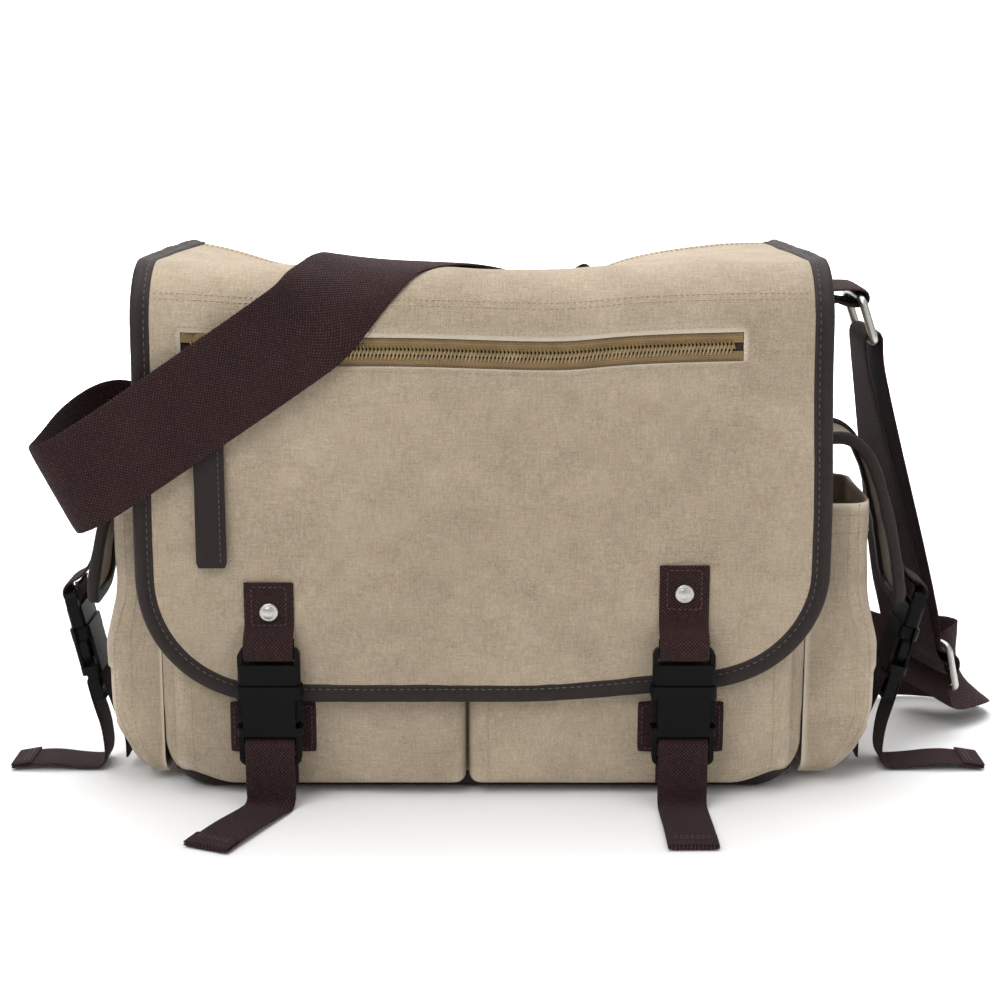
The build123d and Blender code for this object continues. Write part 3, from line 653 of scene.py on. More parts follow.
def build_flap_binding():
    edge = even(flap_edge(), 2.5)
    points, normals = flap_point(edge[:, 0], edge[:, 1], 2.0)
    rings, out, up, s = bound_edge(points, normals, BINDING)
    if np.mean((rings[:, 0] - points)[:, 0] * np.sign(points[:, 0])) < 0:
        rings, out, up, s = bound_edge(points, -normals, BINDING * [1, -1])
        up = -up
    tube = Tube(rings, s, np.zeros(len(BINDING)))
    cut = int(np.argmin(np.abs(edge[:len(edge) // 2, 1] - FLAP_CUT)))
    last = len(edge) - 1 - cut
    a = tube.rows("flap_binding_top_left", LEATHER.material, 0, cut)
    b = tube.rows("flap_binding_front", LEATHER.material, cut, last)
    c = tube.rows("flap_binding_top_right", LEATHER.material, last, len(edge) - 1)
    finish_piece(a, LEATHER, "flap_top_binding", blend=HINGE_BLEND)
    finish_piece(b, LEATHER, "flap_front_binding", blend=FOLD_BLEND)
    finish_piece(c, LEATHER, "flap_top_binding", blend=HINGE_BLEND)
    line = points - out * 6.3 + up * 3.0
    for name, start, end, way in (("top_left", 0, cut, HINGE_BLEND), ("front", cut, last, FOLD_BLEND),
            ("top_right", last, len(edge) - 1, HINGE_BLEND)):
        sew(f"flap_binding_{name}_stitches", [(line[start:end + 1], up[start:end + 1])], LEATHER_THREAD,
            blend=way)


def flap_run(corners, depth=-0.1, pitch=3.0):
    """Line of stitching on the flap through (x, t) corners."""
    line = even(np.array(corners, float), pitch)
    return flap_point(line[:, 0], line[:, 1], depth)


def build_flap_stitching():
    runs = []
    gap = WINDOW + 3.0
    x0, x1 = ZIP_X[0] - 3, ZIP_X[1] + 3
    runs.append(flap_run([(x0, T_ZIP - gap), (x1, T_ZIP - gap), (x1, T_ZIP + gap), (x0, T_ZIP + gap),
        (x0, T_ZIP - gap)]))
    for drop in (-3.4, 3.4):
        runs.append(flap_run([(-HALF + 10, T_ZIP + drop), (x0 - 1, T_ZIP + drop)]))
        runs.append(flap_run([(x1 + 1, T_ZIP + drop), (HALF - 10, T_ZIP + drop)]))
    for t in (T_ZIP - 26, T_ZIP - 29.5):
        runs.append(flap_run([(-HALF + 10, t), (HALF - 10, t)]))
    sew("flap_stitches", runs, CANVAS_THREAD, length=2.3, pitch=3.1, radius=0.28, blend=FOLD_BLEND)
    edge = even(np.array([(-BACK_HALF + 9, 4.0), (BACK_HALF - 9, 4.0)]), 3.0)
    runs = [flap_point(edge[:, 0], edge[:, 1] + add, -0.1) for add in (0, 4)]
    sew("flap_back_stitches", runs, CANVAS_THREAD, length=2.3, pitch=3.1, radius=0.28, blend=HINGE_BLEND)


def build_flap_seam():
    """Cloth strip that carries the flap's back edge down on to the back panel."""
    x = np.linspace(-BACK_HALF, BACK_HALF, 90)[:, None]
    edge, _ = flap_point(x, 0.0, 0.0)
    steps = np.array([(-3.0, 0.2), (-0.5, 0.5), (1.4, -0.4), (2.5, -2.4), (2.9, -5.0), (2.6, -12.0),
        (2.2, -17.0)])
    outer = edge + np.stack([0 * steps[:, 0], steps[:, 0], steps[:, 1]], -1)[None]
    inner = outer + np.stack([0 * steps[:, 0], np.interp(range(7), [0, 2, 6], [0, -1, -1.4]),
        np.interp(range(7), [0, 2, 6], [-1.4, -1, 0])], -1)[None]
    uv = np.stack(np.broadcast_arrays(x, lengths(steps)[None, :]), -1)
    strip = Sheet(outer, inner, uv).whole("flap_seam_strip", CANVAS.material)
    finish_piece(strip, CANVAS, blend=("bag", "flap_top", (0, BACK_EDGE + 1.5, 280), (0, BACK_EDGE - 8, 290)))
    line = outer[:, 5] + [0, 0.3, 2.5]
    sew("flap_seam_stitches", [(line, np.tile([0, 1.0, 0], (len(line), 1)))], CANVAS_THREAD, 2.3, 3.1, 0.28,
        body="bag")


# Zip

def build_zip():
    for side, way in (("upper", -1), ("lower", 1)):
        rows = T_ZIP + way * np.linspace(2.4, WINDOW - 0.2, 5)
        x = np.linspace(ZIP_X[0] + 0.3, ZIP_X[1] - 0.3, 110)[None, :]
        t = np.broadcast_to(rows[:, None], (5, 110))
        bulge = np.interp(range(5), [0, 2, 4], [-0.2, 0.1, 0.5])[:, None]
        outer, _ = flap_point(x, t, 0.1 + bulge)
        inner, _ = flap_point(x, t, 1.0 + bulge)
        tape = Sheet(outer, inner, np.stack(np.broadcast_arrays(x, t), -1)).whole(f"zip_tape_{side}",
            TAPE.material)
        finish_piece(tape, TAPE, "zip_tapes", body="flap_front")
    runs = [flap_run([(ZIP_X[0] + 2, T_ZIP + way * 7.2), (ZIP_X[1] - 2, T_ZIP + way * 7.2)],
        0.0) for way in (-1, 1)]
    sew("zip_tape_stitches", runs, ZIP_THREAD, length=1.6, pitch=2.0, radius=0.3, body="flap_front")
    verts, faces = [], []
    pitch = 2.1
    profile = np.array([(-4.2, 0.5), (-3.0, 0.6), (-1.2, 0.62), (0.3, 0.75), (1.1, 0.5)])
    slant = 0.28
    count = int((ZIP_X[1] - 4 - ZIP_X[0] - 5) / pitch * 2)
    base = 0
    for k in range(count):
        x = ZIP_X[0] + 5 + (k + 0.5) * pitch / 2
        way = 1 if k % 2 else -1
        middle, _ = flap_point(x, T_ZIP, 0.0)
        for z, half in profile:
            high = 1.25 - 0.05 * z * z
            for a, b in ((-half, -0.9), (-half, high - 0.35), (-half * 0.4, high), (half * 0.4, high),
                    (half, high - 0.35), (half, -0.9)):
                verts.append(middle + [a + slant * z, -b, way * -z])
        for i in range(len(profile) - 1):
            for j in range(6):
                p, q = base + i * 6 + j, base + i * 6 + (j + 1) % 6
                faces.append([p, q, q + 6, p + 6])
        for i in (0, len(profile) - 1):
            r = base + i * 6
            faces.append([r, r + 1, r + 4, r + 5])
            faces.append([r + 1, r + 2, r + 3, r + 4])
        base += 6 * len(profile)
    verts, faces = np.array(verts), np.array(faces)
    teeth = piece("zip_teeth", verts, faces, BRASS.material, crease=40)
    finish_piece(teeth, BRASS, "zip_coil", body="flap_front")
    low, high = box_mm("zip_pull")
    cx, cy, cz = (low + high) / 2
    wide, thick, tall = (high - low) / 2
    rows = np.linspace(-1, 1, 46)
    turn = np.linspace(0, 2 * math.pi, 29)[:-1]
    power = 0.22
    sx = np.sign(np.cos(turn)) * np.abs(np.cos(turn)) ** power
    sy = np.sign(np.sin(turn)) * np.abs(np.sin(turn)) ** 0.6
    rings = []
    for r in rows:
        end = (1 - abs(r) ** 40) ** 0.5
        w = wide * (1 - 0.04 * ease(0.2, 1, r) + 0.01 * math.sin(r * 5)) * (0.86 + 0.14 * end)
        bow = 0.5 * math.sin(r * 2.4)
        rings.append(np.stack([cx + sx * w, cy + bow * 0.6 + sy * thick * (0.25 + 0.75 * end) * 0.92,
            np.full(28, cz + r * tall)], -1))
    pull = Tube(np.array(rings), rows * tall, turn)
    obj = pull.rows("zip_pull_leather", LEATHER.material, shared=False)
    finish_piece(obj, LEATHER, "zip_pull", body="zip_pull")
    line = np.array([(cx + wide * 0.62, cy - thick * 0.98 + 0.3 * math.sin(r * 2.4),
        cz + r * tall) for r in np.linspace(-0.96, 0.9, 40)])
    sew("zip_pull_stitches", [(line, np.tile([0, -1.0, 0], (40, 1)))], LEATHER_THREAD, 2.6, 3.4, 0.3,
        body="zip_pull")


# Body: one shell lofted from the base up, then pockets sewn to it

BODY_HALF = 186.0
BODY_DEEP = 65.0
EDGE = 10.0
BASE_CORNER = 28.0
BASE_TOP = 9.0


def ring_line(half, deep, round_):
    """Closed line round the bag in plan, with its outward directions: starts at the middle of the back."""
    spots, ways = [], []
    def run(a, b, way, count):
        for k in range(count):
            spots.append(np.array(a) + (np.array(b) - np.array(a)) * k / count)
            ways.append(way)
    def bend(centre, start, count=7):
        for k in range(count):
            angle = start - math.pi / 2 * k / count
            ways.append((math.cos(angle), math.sin(angle)))
            spots.append(np.array(centre) + round_ * np.array(ways[-1]))
    w, d = half - round_, deep - round_
    run((0, deep), (w, deep), (0, 1), 44)
    bend((w, d), math.pi / 2)
    run((half, d), (half, -d), (1, 0), 34)
    bend((w, -d), 0)
    run((w, -deep), (-w, -deep), (0, -1), 88)
    bend((-w, -d), -math.pi / 2)
    run((-half, -d), (-half, d), (-1, 0), 34)
    bend((-w, d), -math.pi)
    run((-w, deep), (0, deep), (0, 1), 44)
    return np.array(spots), np.array(ways, float)


def mouth(y):
    """Height of the bag's mouth: it rises from the front to the back."""
    front, back = 262.0, 300.0
    side = 262 + (y + BODY_DEEP) / (2 * BODY_DEEP) * 32
    high = np.where(y > BODY_DEEP - 4, back - 1, np.where(y < -BODY_DEEP + 4, front, side))
    return high


def body_sheet(inset, low, high_drop, rows):
    """Shell of the body, inset mm in from its outer face, from height low to the mouth less high_drop."""
    spots, ways = ring_line(BODY_HALF - inset, BODY_DEEP - inset, max(EDGE - inset, 3))
    top = mouth(spots[:, 1]) - high_drop
    share = np.linspace(0, 1, rows)[:, None]
    z = low + (top[None, :] - low) * share
    up = np.clip(z - inset * 0.2, 0, BASE_CORNER)
    draw = BASE_CORNER - np.sqrt(np.maximum(BASE_CORNER ** 2 - (BASE_CORNER - up) ** 2, 0))
    x = np.broadcast_to(spots[None, :, 0], z.shape)
    y = np.broadcast_to(spots[None, :, 1], z.shape)
    half = BODY_HALF - inset
    x = x * (half - draw) / half
    way = np.broadcast_to(ways[None], z.shape + (2,))
    around = np.cumsum(np.r_[0, np.linalg.norm(np.diff(spots, axis=0), axis=1)])
    a = np.broadcast_to(around[None], z.shape)
    push = 0.5 * rumple(a, z, 34, 21) + 0.35 * rumple(a, z, 13, 22)
    side = np.abs(way[..., 0])
    push = push + side * (1.3 * np.sin(np.clip(z / 250, 0, 1) * math.pi) + 0.9 * rumple(a, z, 50, 23))
    push = np.where(way[..., 1] < -0.5, push * 0.3 - 0.3, push)
    push = np.where(way[..., 1] > 0.5, push + 2.2 * np.sin(np.clip(z / 290, 0,
        1) * math.pi) * (1 - (x / BODY_HALF) ** 2), push)
    x = x + way[..., 0] * push
    y = y + way[..., 1] * push
    z = z - np.where(y > 0, sag(x, y + 2, z), 0) * (y > BODY_DEEP - 12)
    return np.stack([x, y, z], -1), np.stack([a, z], -1)


def build_body():
    outer, uv = body_sheet(0.0, BASE_TOP, 0.0, 76)
    inner, _ = body_sheet(2.2, BASE_TOP, 0.0, 76)
    shell = Sheet(outer, inner, uv, loop=True).whole("body_canvas", CANVAS.material)
    finish_piece(shell, CANVAS, "front_panel", "back_panel", "gusset_left", "gusset_right", body="bag")
    outer, uv = body_sheet(4.2, 8.0, 13.0, 60)
    inner, _ = body_sheet(5.2, 9.0, 13.0, 60)
    floor = [outer[0] * [s, s, 1] for s in np.linspace(0.02, 0.96, 10)]
    floor_in = [inner[0] * [s, s, 1] for s in np.linspace(0.02, 0.96, 10)]
    uv_floor = [np.stack([outer[0, :, 0] * s, outer[0, :, 1] * s], -1) for s in np.linspace(0.02, 0.96, 10)]
    outer, inner = np.concatenate([np.array(floor), outer]), np.concatenate([np.array(floor_in), inner])
    uv = np.concatenate([np.array(uv_floor), uv])
    finish_piece(Sheet(outer, inner, uv, loop=True).whole("body_lining", LINING.material), LINING, "lining",
        body="bag")
    # Leather base: flat underneath, turned up round the foot
    spots, out = ring_line(BODY_HALF + 0.5, BODY_DEEP + 0.5, EDGE)
    def at_height(z, grow):
        up = np.clip(z, 0, BASE_CORNER)
        draw = BASE_CORNER - math.sqrt(max(BASE_CORNER ** 2 - (BASE_CORNER - up) ** 2, 0))
        x = (spots[:, 0] + out[:, 0] * grow) * (BODY_HALF - draw) / BODY_HALF
        return np.stack([x, spots[:, 1] + out[:, 1] * grow, np.full(len(spots), z)], -1)
    rows = [at_height(0.6, -2.5) * [s, s, 1] for s in np.linspace(0.02, 0.97, 14)]
    rows += [at_height(0.6, -2.5), at_height(1.2, -0.9), at_height(3.0, 0.0), at_height(6.0, 0.2),
        at_height(BASE_TOP + 1, 0.2)]
    outer = np.array(rows)
    inner = outer + np.array([0, 0, 1.0])
    inner[15:] = np.array([at_height(2.4, -2.2), at_height(3.6, -1.9), at_height(6.4, -1.6),
        at_height(BASE_TOP + 1, -1.4)])
    uv = np.stack([outer[..., 0], outer[..., 1]], -1)
    finish_piece(Sheet(outer, inner, uv, loop=True).whole("base_leather", LEATHER.material), LEATHER,
        "base_panel", body="bag")


def build_rim():
    spots, ways = ring_line(BODY_HALF - 1.4, BODY_DEEP - 1.4, EDGE)
    keep = spots[:, 1] < BODY_DEEP - 8
    order = [k for k in range(len(spots)) if keep[k]]
    spots, ways = spots[order], ways[order]
    side = 262 + (spots[:, 1] + BODY_DEEP) / (2 * BODY_DEEP) * 32
    line = np.column_stack([spots, side + 0.8])
    line, out = even(line, 3.0, np.column_stack([ways, np.zeros(len(ways))]))
    line = cut_corners(line, 1)
    out = cut_corners(out, 1)
    s = lengths(line)
    section = np.array([(0.0, 1.0), (1.6, 0.7), (2.5, -0.6), (2.8, -2.6), (2.5, -5.0), (2.4, -7.4),
        (1.6, -8.2), (0, -8.3), (-1.6, -8.2), (-2.4, -7.4), (-2.5, -5.0), (-2.8, -2.6), (-2.5, -0.6),
            (-1.6, 0.7)])
    pucker = (1 + 0.08 * rumple(s, 0, 8, 31))[:, None, None]
    out = unit(out)
    rings = line[:, None] + out[:, None] * section[None, :,
        :1] * pucker + np.array([0, 0, 1.0]) * section[None, :, 1:]
    tube = Tube(rings, s, np.zeros(len(section)))
    finish_piece(tube.rows("rim_leather", LEATHER.material, shared=False), LEATHER, "rim_binding", body="bag")
    low = line - [0, 0, 6.0]
    runs = [(low + out * 2.7, out), (low - out * 2.7, -out)]
    sew("rim_stitches", runs, LEATHER_THREAD, body="bag")


def settle(name, points, pinned, push, frames=18, extra=0.035, stiff=6.0):
    """Blow a pinned cloth out with air and some spare cloth, so that it swells and puckers at its seams."""
    rows, cols, _ = points.shape
    index = np.arange(rows * cols).reshape(rows, cols)
    faces = np.stack([index[:-1, :-1], index[:-1, 1:], index[1:, 1:], index[1:, :-1]], -1).reshape(-1, 4)
    obj = piece(name + "_trial", points.reshape(-1, 3), faces, CANVAS.material, crease=0)
    group = obj.vertex_groups.new(name="pin")
    group.add([int(i) for i in index[pinned]], 1.0, "REPLACE")
    cloth = obj.modifiers.new("Cloth", "CLOTH")
    cloth.settings.quality = 6
    cloth.settings.mass = 0.25
    cloth.settings.tension_stiffness = cloth.settings.compression_stiffness = 22
    cloth.settings.shear_stiffness = 6
    cloth.settings.bending_stiffness = stiff
    cloth.settings.use_pressure = True
    cloth.settings.uniform_pressure_force = push
    cloth.settings.shrink_min = -extra
    cloth.settings.vertex_group_mass = "pin"
    cloth.settings.effector_weights.gravity = 0
    cloth.collision_settings.use_collision = False
    scene = bpy.context.scene
    cloth.point_cache.frame_start, cloth.point_cache.frame_end = 1, frames + 1
    for k in range(1, frames + 1):
        scene.frame_set(k)
    shown = obj.evaluated_get(bpy.context.evaluated_depsgraph_get())
    out = np.zeros(rows * cols * 3, np.float32)
    shown.data.vertices.foreach_get("co", out)
    scene.frame_set(1)
    bpy.data.objects.remove(obj)
    moved = out.reshape(rows, cols, 3).astype(float) / MM
    print(name, "cloth moved up to", round(float(np.linalg.norm(moved - points, axis=-1).max()), 2), "mm")
    return moved if np.isfinite(moved).all() else points


def thicken(points, thick, way=1):
    """Second grid, thick mm behind the first."""
    du = np.gradient(points, axis=1)
    dv = np.gradient(points, axis=0)
    return points - unit(np.cross(du, dv)) * thick * way


def pocket_profile(low, high, corner, rows, floor_rows=4):
    """Grid of a patch pocket: up from its seam underneath, round its foot, up to its hem."""
    grid = []
    for k in range(floor_rows):
        share = k / floor_rows
        grid.append((share, low, corner))
    for a in np.linspace(0, math.pi / 2, 7):
        grid.append((1.0, low + corner * (1 - math.cos(a)), corner * (1 - math.sin(a))))
    for z in np.linspace(low + corner, high, rows)[1:]:
        grid.append((1.0, z, 0.0))
    return grid


def pocket_uv(points, path):
    """Measure of a pocket's cloth: round its path, and up its middle."""
    up = lengths(points[:, len(path) // 2])
    return np.stack(np.broadcast_arrays(lengths(path)[None], up[:, None]), -1)


def build_front_pockets():
    for side in ("left", "right"):
        low, high = box_mm(f"front_pocket_{side}")
        face, back = low[1] + 0.3, -BODY_DEEP - 0.1
        x0, x1 = low[0], high[0]
        foot = low[2]
        path, out = [], []
        def add(x, y, a):
            path.append((x, y))
            out.append((math.cos(a), math.sin(a)))
        r = 7.0
        for y in np.linspace(back, face + r, 4)[:-1]:
            add(x0, y, math.pi)
        for a in np.linspace(math.pi, 1.5 * math.pi, 7):
            add(x0 + r + r * math.cos(a), face + r + r * math.sin(a), a)
        for x in np.linspace(x0 + r, x1 - r, 46)[1:-1]:
            add(x, face, 1.5 * math.pi)
        for a in np.linspace(1.5 * math.pi, 2 * math.pi, 7):
            add(x1 - r + r * math.cos(a), face + r + r * math.sin(a), a)
        for y in np.linspace(face + r, back, 4)[1:]:
            add(x1, y, 0)
        path, out = np.array(path), np.array(out)
        grid = []
        for share, z, inset in pocket_profile(foot, high[2], 6.0, 44):
            spot = path - out * inset
            y = back + (spot[:, 1] - back) * share
            grid.append(np.column_stack([spot[:, 0], np.minimum(y, back), np.full(len(path), z)]))
        points = np.array(grid)
        uv = pocket_uv(points, path)
        pinned = np.zeros(points.shape[:2], bool)
        pinned[:, :2] = pinned[:, -2:] = True
        pinned[:2] = True
        pinned[-1] = True
        moved = settle(f"front_pocket_{side}", points, pinned, 1.2)
        change = moved - points
        height = points[..., 2]
        free = 1 - ease(50, 62, height)
        limit = 0.9 + 4.5 * free
        buckle = -120.0 if side == "left" else 113.0
        patch = (1 - ease(26, 34, np.abs(points[..., 0] - buckle))) * (1 - ease(60, 68, height))
        limit = limit * (1 - 0.95 * patch)
        push = -change[..., 1]
        push = np.where(push > 0, limit * np.tanh(push / np.maximum(limit, 0.05)), np.maximum(push, -2.0))
        extra = (2.0 * rumple(points[..., 0], height, 30, 41) + 0.6 * rumple(points[..., 0], height, 12,
            42)) * free * (1 - patch)
        sunk = 1.6 * np.exp(-((height - 16) / 10) ** 2) * np.exp(-((np.minimum(np.abs(points[..., 0] - x0),
            np.abs(points[..., 0] - x1)) - 16) / 7) ** 2)
        face_on = points[..., 1] < face + 3
        new = points.copy()
        new[..., 0] += np.clip(change[..., 0], -0.9, 0.9)
        new[..., 1] -= push + np.where(face_on, extra - sunk, 0)
        new[..., 2] += np.clip(change[..., 2], -1.5, 1.5) * (height > foot + 2)
        from_outer = np.abs(points[..., 0] - (x0 if side == "left" else x1))
        new[..., 2] += 9 * (1 - ease(0, 34, from_outer)) * (1 - ease(0, 40, height - foot))
        inner = thicken(new, 1.5, way=1)
        if np.mean(inner[10:, 20:30, 1] - new[10:, 20:30, 1]) < 0:
            inner = thicken(new, 1.5, way=-1)
        cloth = Sheet(new, inner, uv).whole(f"front_pocket_{side}_cloth", CANVAS.material)
        finish_piece(cloth, CANVAS, f"front_pocket_{side}", body="bag")
        runs = []
        for k in (10, len(path) - 11):
            column = new[6:, k] + [0, -0.1, 0]
            runs.append((column, np.tile([0, -1.0, 0], (len(column), 1))))
        for row in (-3, -5):
            line = new[row, 4:-4] + [0, -0.1, 0]
            runs.append((line, np.tile([0, -1.0, 0], (len(line), 1))))
        sew(f"front_pocket_{side}_stitches", runs, CANVAS_THREAD, 2.3, 3.1, 0.27, body="bag")


def build_side_pockets():
    for side, way in (("left", -1), ("right", 1)):
        low, high = box_mm(f"side_pocket_{side}")
        start = BODY_HALF + 0.2
        end = max(abs(low[0]), abs(high[0]))
        front, back = low[1], high[1]
        r = 13.0
        path, out = [], []
        def add(x, y, a):
            path.append((x, y))
            out.append((math.cos(a), math.sin(a)))
        for x in np.linspace(start, end - r, 8)[:-1]:
            add(x, front, -math.pi / 2)
        for a in np.linspace(-math.pi / 2, 0, 8):
            add(end - r + r * math.cos(a), front + r + r * math.sin(a), a)
        for y in np.linspace(front + r, back - r, 22)[1:-1]:
            add(end, y, 0)
        for a in np.linspace(0, math.pi / 2, 8):
            add(end - r + r * math.cos(a), back - r + r * math.sin(a), a)
        for x in np.linspace(end - r, start, 8)[1:]:
            add(x, back, math.pi / 2)
        path, out = np.array(path), np.array(out)
        grid = []
        for share, z, inset in pocket_profile(low[2], high[2], 14.0, 44):
            spot = path - out * inset
            x = start + (np.maximum(spot[:, 0], start) - start) * share
            grid.append(np.column_stack([x, spot[:, 1], np.full(len(path), z)]))
        points = np.array(grid)
        uv = pocket_uv(points, path)
        pinned = np.zeros(points.shape[:2], bool)
        pinned[:, :1] = pinned[:, -1:] = True
        pinned[:2] = True
        moved = settle(f"side_pocket_{side}", points, pinned, 2.2, extra=0.04)
        change = moved - points
        size = np.linalg.norm(change, axis=-1, keepdims=True)
        cap = 5.0
        change = change * (np.tanh(size / cap) * cap / np.maximum(size, 1e-6))
        height = points[..., 2]
        outer_face = ease(end - 6, end - 1, points[..., 0])
        change[..., 0] = np.minimum(change[..., 0], np.where(outer_face > 0.5, 2.0, 5.0))
        rough = 1.1 * rumple(uv[..., 0], height, 30, 51 + way) + 0.6 * rumple(uv[..., 0], height * 0.8, 14,
            53 + way)
        fade = ease(0, 12, np.minimum(uv[..., 0], uv[..., 0].max() - uv[..., 0])) * ease(8, 26,
            height) * (1 - 0.5 * ease(150, 168, height))
        new = points + change
        new[..., :2] += out[None] * (rough * fade)[..., None]
        corner = (1 - ease(-56, -45, points[..., 1])) * ease(start + 4, end - 6, points[..., 0])
        new[..., 0] += 9 * corner * ease(8, 50, height) * (1 - ease(82, 122, height))
        new[..., 0] -= 9 * ease(start + 4, end - 4, points[..., 0]) * (1 - ease(0, 38, height))
        middle = (1 - ease(24, 34, np.abs(points[..., 1] + 23))) * (1 - ease(60, 70, height)) * outer_face
        new[..., 0] = np.where(middle > 0.01, np.minimum(new[..., 0], end + 3 * (1 - middle)), new[..., 0])
        new[..., 2] = np.maximum(new[..., 2], 1.5)
        new[..., 0] = np.maximum(new[..., 0], start)
        new *= [way, 1, 1]
        inner = thicken(new, 1.7, way=1)
        middle_row = slice(20, 30)
        if np.mean(np.abs(inner[middle_row, 18:24, 0]) - np.abs(new[middle_row, 18:24, 0])) > 0:
            inner = thicken(new, 1.7, way=-1)
        cloth = Sheet(new, inner, uv).whole(f"side_pocket_{side}_cloth", CANVAS.material)
        finish_piece(cloth, CANVAS, f"side_pocket_{side}", body="bag")
        normals = unit(new - inner)
        runs = [(new[row, 1:-1] + normals[row, 1:-1] * 0.1, normals[row, 1:-1]) for row in (-3, -6)]
        for k in (7, 9):
            runs.append((new[8:, k] + normals[8:, k] * 0.1, normals[8:, k]))
        sew(f"side_pocket_{side}_stitches", runs, CANVAS_THREAD, 2.3, 3.1, 0.27, body="bag")


# Webbing on the front: tabs with rivets, patches and tails

WEB = 28.0
WEB_THICK = 1.7
BAR_LOOP = [(-4.4, 6.4), (-4.4, -4.9), (4.3, -4.9), (4.3, 3.0), (5.6, 5.6)]
LADDER_PASS = [(5.0, -60), (4.9, -51), (-4.9, -51), (-5.0, -58), (-5.0, -68)]
BUCKLE_Y = -94.5
BUCKLE_Z = 91.0
FRONT_X = {"left": -120.0, "right": 113.0}
TAB_TOP = {"left": 129.0, "right": 139.0}
RIVET_Z = {"left": 112.0, "right": 123.0}


def tilted(points, tilt, bar):
    c, s = math.cos(math.radians(tilt)), math.sin(math.radians(tilt))
    return [(bar[0] + y * c - z * s, bar[1] + y * s + z * c) for y, z in points]


def rivet_head(name, centre, normal, body, look=None):
    """Domed rivet cap with a turned rim, lathed about its axis."""
    look = look or NICKEL
    profile = [(0.0, 2.5), (1.6, 2.4), (3.0, 2.0), (3.7, 1.55), (4.0, 1.5), (4.5, 1.75), (5.1, 1.5),
        (5.4, 0.8), (5.3, 0.0)]
    turns = np.linspace(0, 2 * math.pi, 33)[:-1]
    n = unit(np.array(normal, float))
    side = unit(np.cross(n, [0, 0, 1.0] if abs(n[2]) < 0.9 else [1.0, 0, 0]))
    other = np.cross(n, side)
    rings = np.array([[np.array(centre) + n * h + (side * math.cos(a) + other * math.sin(a)) * max(r,
        0.02) for a in turns] for r, h in profile])
    tube = Tube(rings, range(len(profile)), turns)
    obj = tube.rows(name, look.material, shared=False)
    finish_piece(obj, look, body=body)
    return obj


def box_run(u_low, u_high, v):
    return [(u_low, -v), (u_high, -v), (u_high, v), (u_low, v), (u_low, -v)]


def run_on_band(places, wide, out, s, corners, lift, pitch=2.0):
    """Stitch line on a band's face through (distance along, distance across) corners."""
    line = even(np.array(corners, float), pitch)
    at = np.stack([np.interp(line[:, 0], s, places[:, k]) for k in range(3)], 1)
    w = np.stack([np.interp(line[:, 0], s, wide[:, k]) for k in range(3)], 1)
    n = np.stack([np.interp(line[:, 0], s, out[:, k]) for k in range(3)], 1)
    return at + w * line[:, 1:] + n * lift, n * (1 if lift > 0 else -1)


def drape_on_flap():
    """Push points of a flat tab out with the swell of the flap under it."""
    def shape(points):
        t = T_FRONT + BEND_Z - points[:, 2]
        on, _ = flap_point(points[:, 0], t, 0.0)
        lie = ease(100, 108, points[:, 2])
        moved = points.copy()
        moved[:, 1] += (on[:, 1] - FACE - 0.2) * lie
        return moved
    return shape


def plane_band(line, middle, along_y=False):
    if along_y:
        return [((out, middle, up), (0, 1, 0)) for out, up in line]
    return [((middle, out, up), (1, 0, 0)) for out, up in line]


def build_front_webbing():
    lie = FACE - 0.95
    for side, x in FRONT_X.items():
        line = [(lie, TAB_TOP[side]), (lie, RIVET_Z[side] - 5), (lie, 104.5)] + tilted(BAR_LOOP, 0,
            (BUCKLE_Y, BUCKLE_Z))
        tube, places, wide, out, s = band(plane_band(line, x), WEB, WEB_THICK, pitch=1.6,
            shape=drape_on_flap())
        tab = tube.rows(f"front_tab_{side}", WEBBING.material, shared=False)
        plug_blend = ("flap_front", f"front_{side}_plug", (0, 0, 106), (0, 0, 98))
        finish_piece(tab, WEBBING, "front_tabs", blend=plug_blend)
        sign = 1 if out[3, 1] < 0 else -1
        runs = [run_on_band(places, wide, out, s, box_run(2.5, TAB_TOP[side] - RIVET_Z[side] + 9, 9.6),
            0.9 * sign)]
        sew(f"front_tab_{side}_stitches", runs, WEBBING_THREAD, 2.3, 3.0, 0.3, blend=plug_blend)
        on, _ = flap_point(x, T_FRONT + BEND_Z - RIVET_Z[side], 0.0)
        rivet_head(f"front_rivet_{side}", (x, on[1] - 1.6, RIVET_Z[side]), (0, -1, 0), "flap_front")
    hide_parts("front_rivets")
    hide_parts("front_rivets")
    face = box_mm("front_patches")[1][1]
    for side, x in FRONT_X.items():
        patch_piece(f"front_patch_{side}", (x, face, 42), (1, 0, 0), (0, -1, 0), "front_patches")
    drifts = {"left": -27.0, "right": 1.0}
    for side, x in FRONT_X.items():
        pocket = box_mm("front_patches")[1][1] + 0.2
        line = [(pocket - 1.2, 8), (pocket - 1.2, 20), (pocket - 3.9, 27)] + tilted(LADDER_PASS, 0,
            (BUCKLE_Y, BUCKLE_Z))
        line += [(-99.2, 16), (-97.5, 1.4)]
        turn = drifts[side] / 60
        path = plane_band(line, x)
        for y, z in ((-110, 1.1), (-136, 2.6), (-161.5, 1.1)):
            path.append(((x + turn * (-98 - y), y, z), (1, turn, 0)))
        tube, places, wide, out, s = band(path, WEB, WEB_THICK, pitch=1.6)
        strap = tube.rows(f"front_tail_{side}", WEBBING.material, shared=False)
        finish_piece(strap, WEBBING, f"front_strap_{side}", body="bag")
        hem_fold(f"front_tail_{side}", places, wide, out, s, "bag")


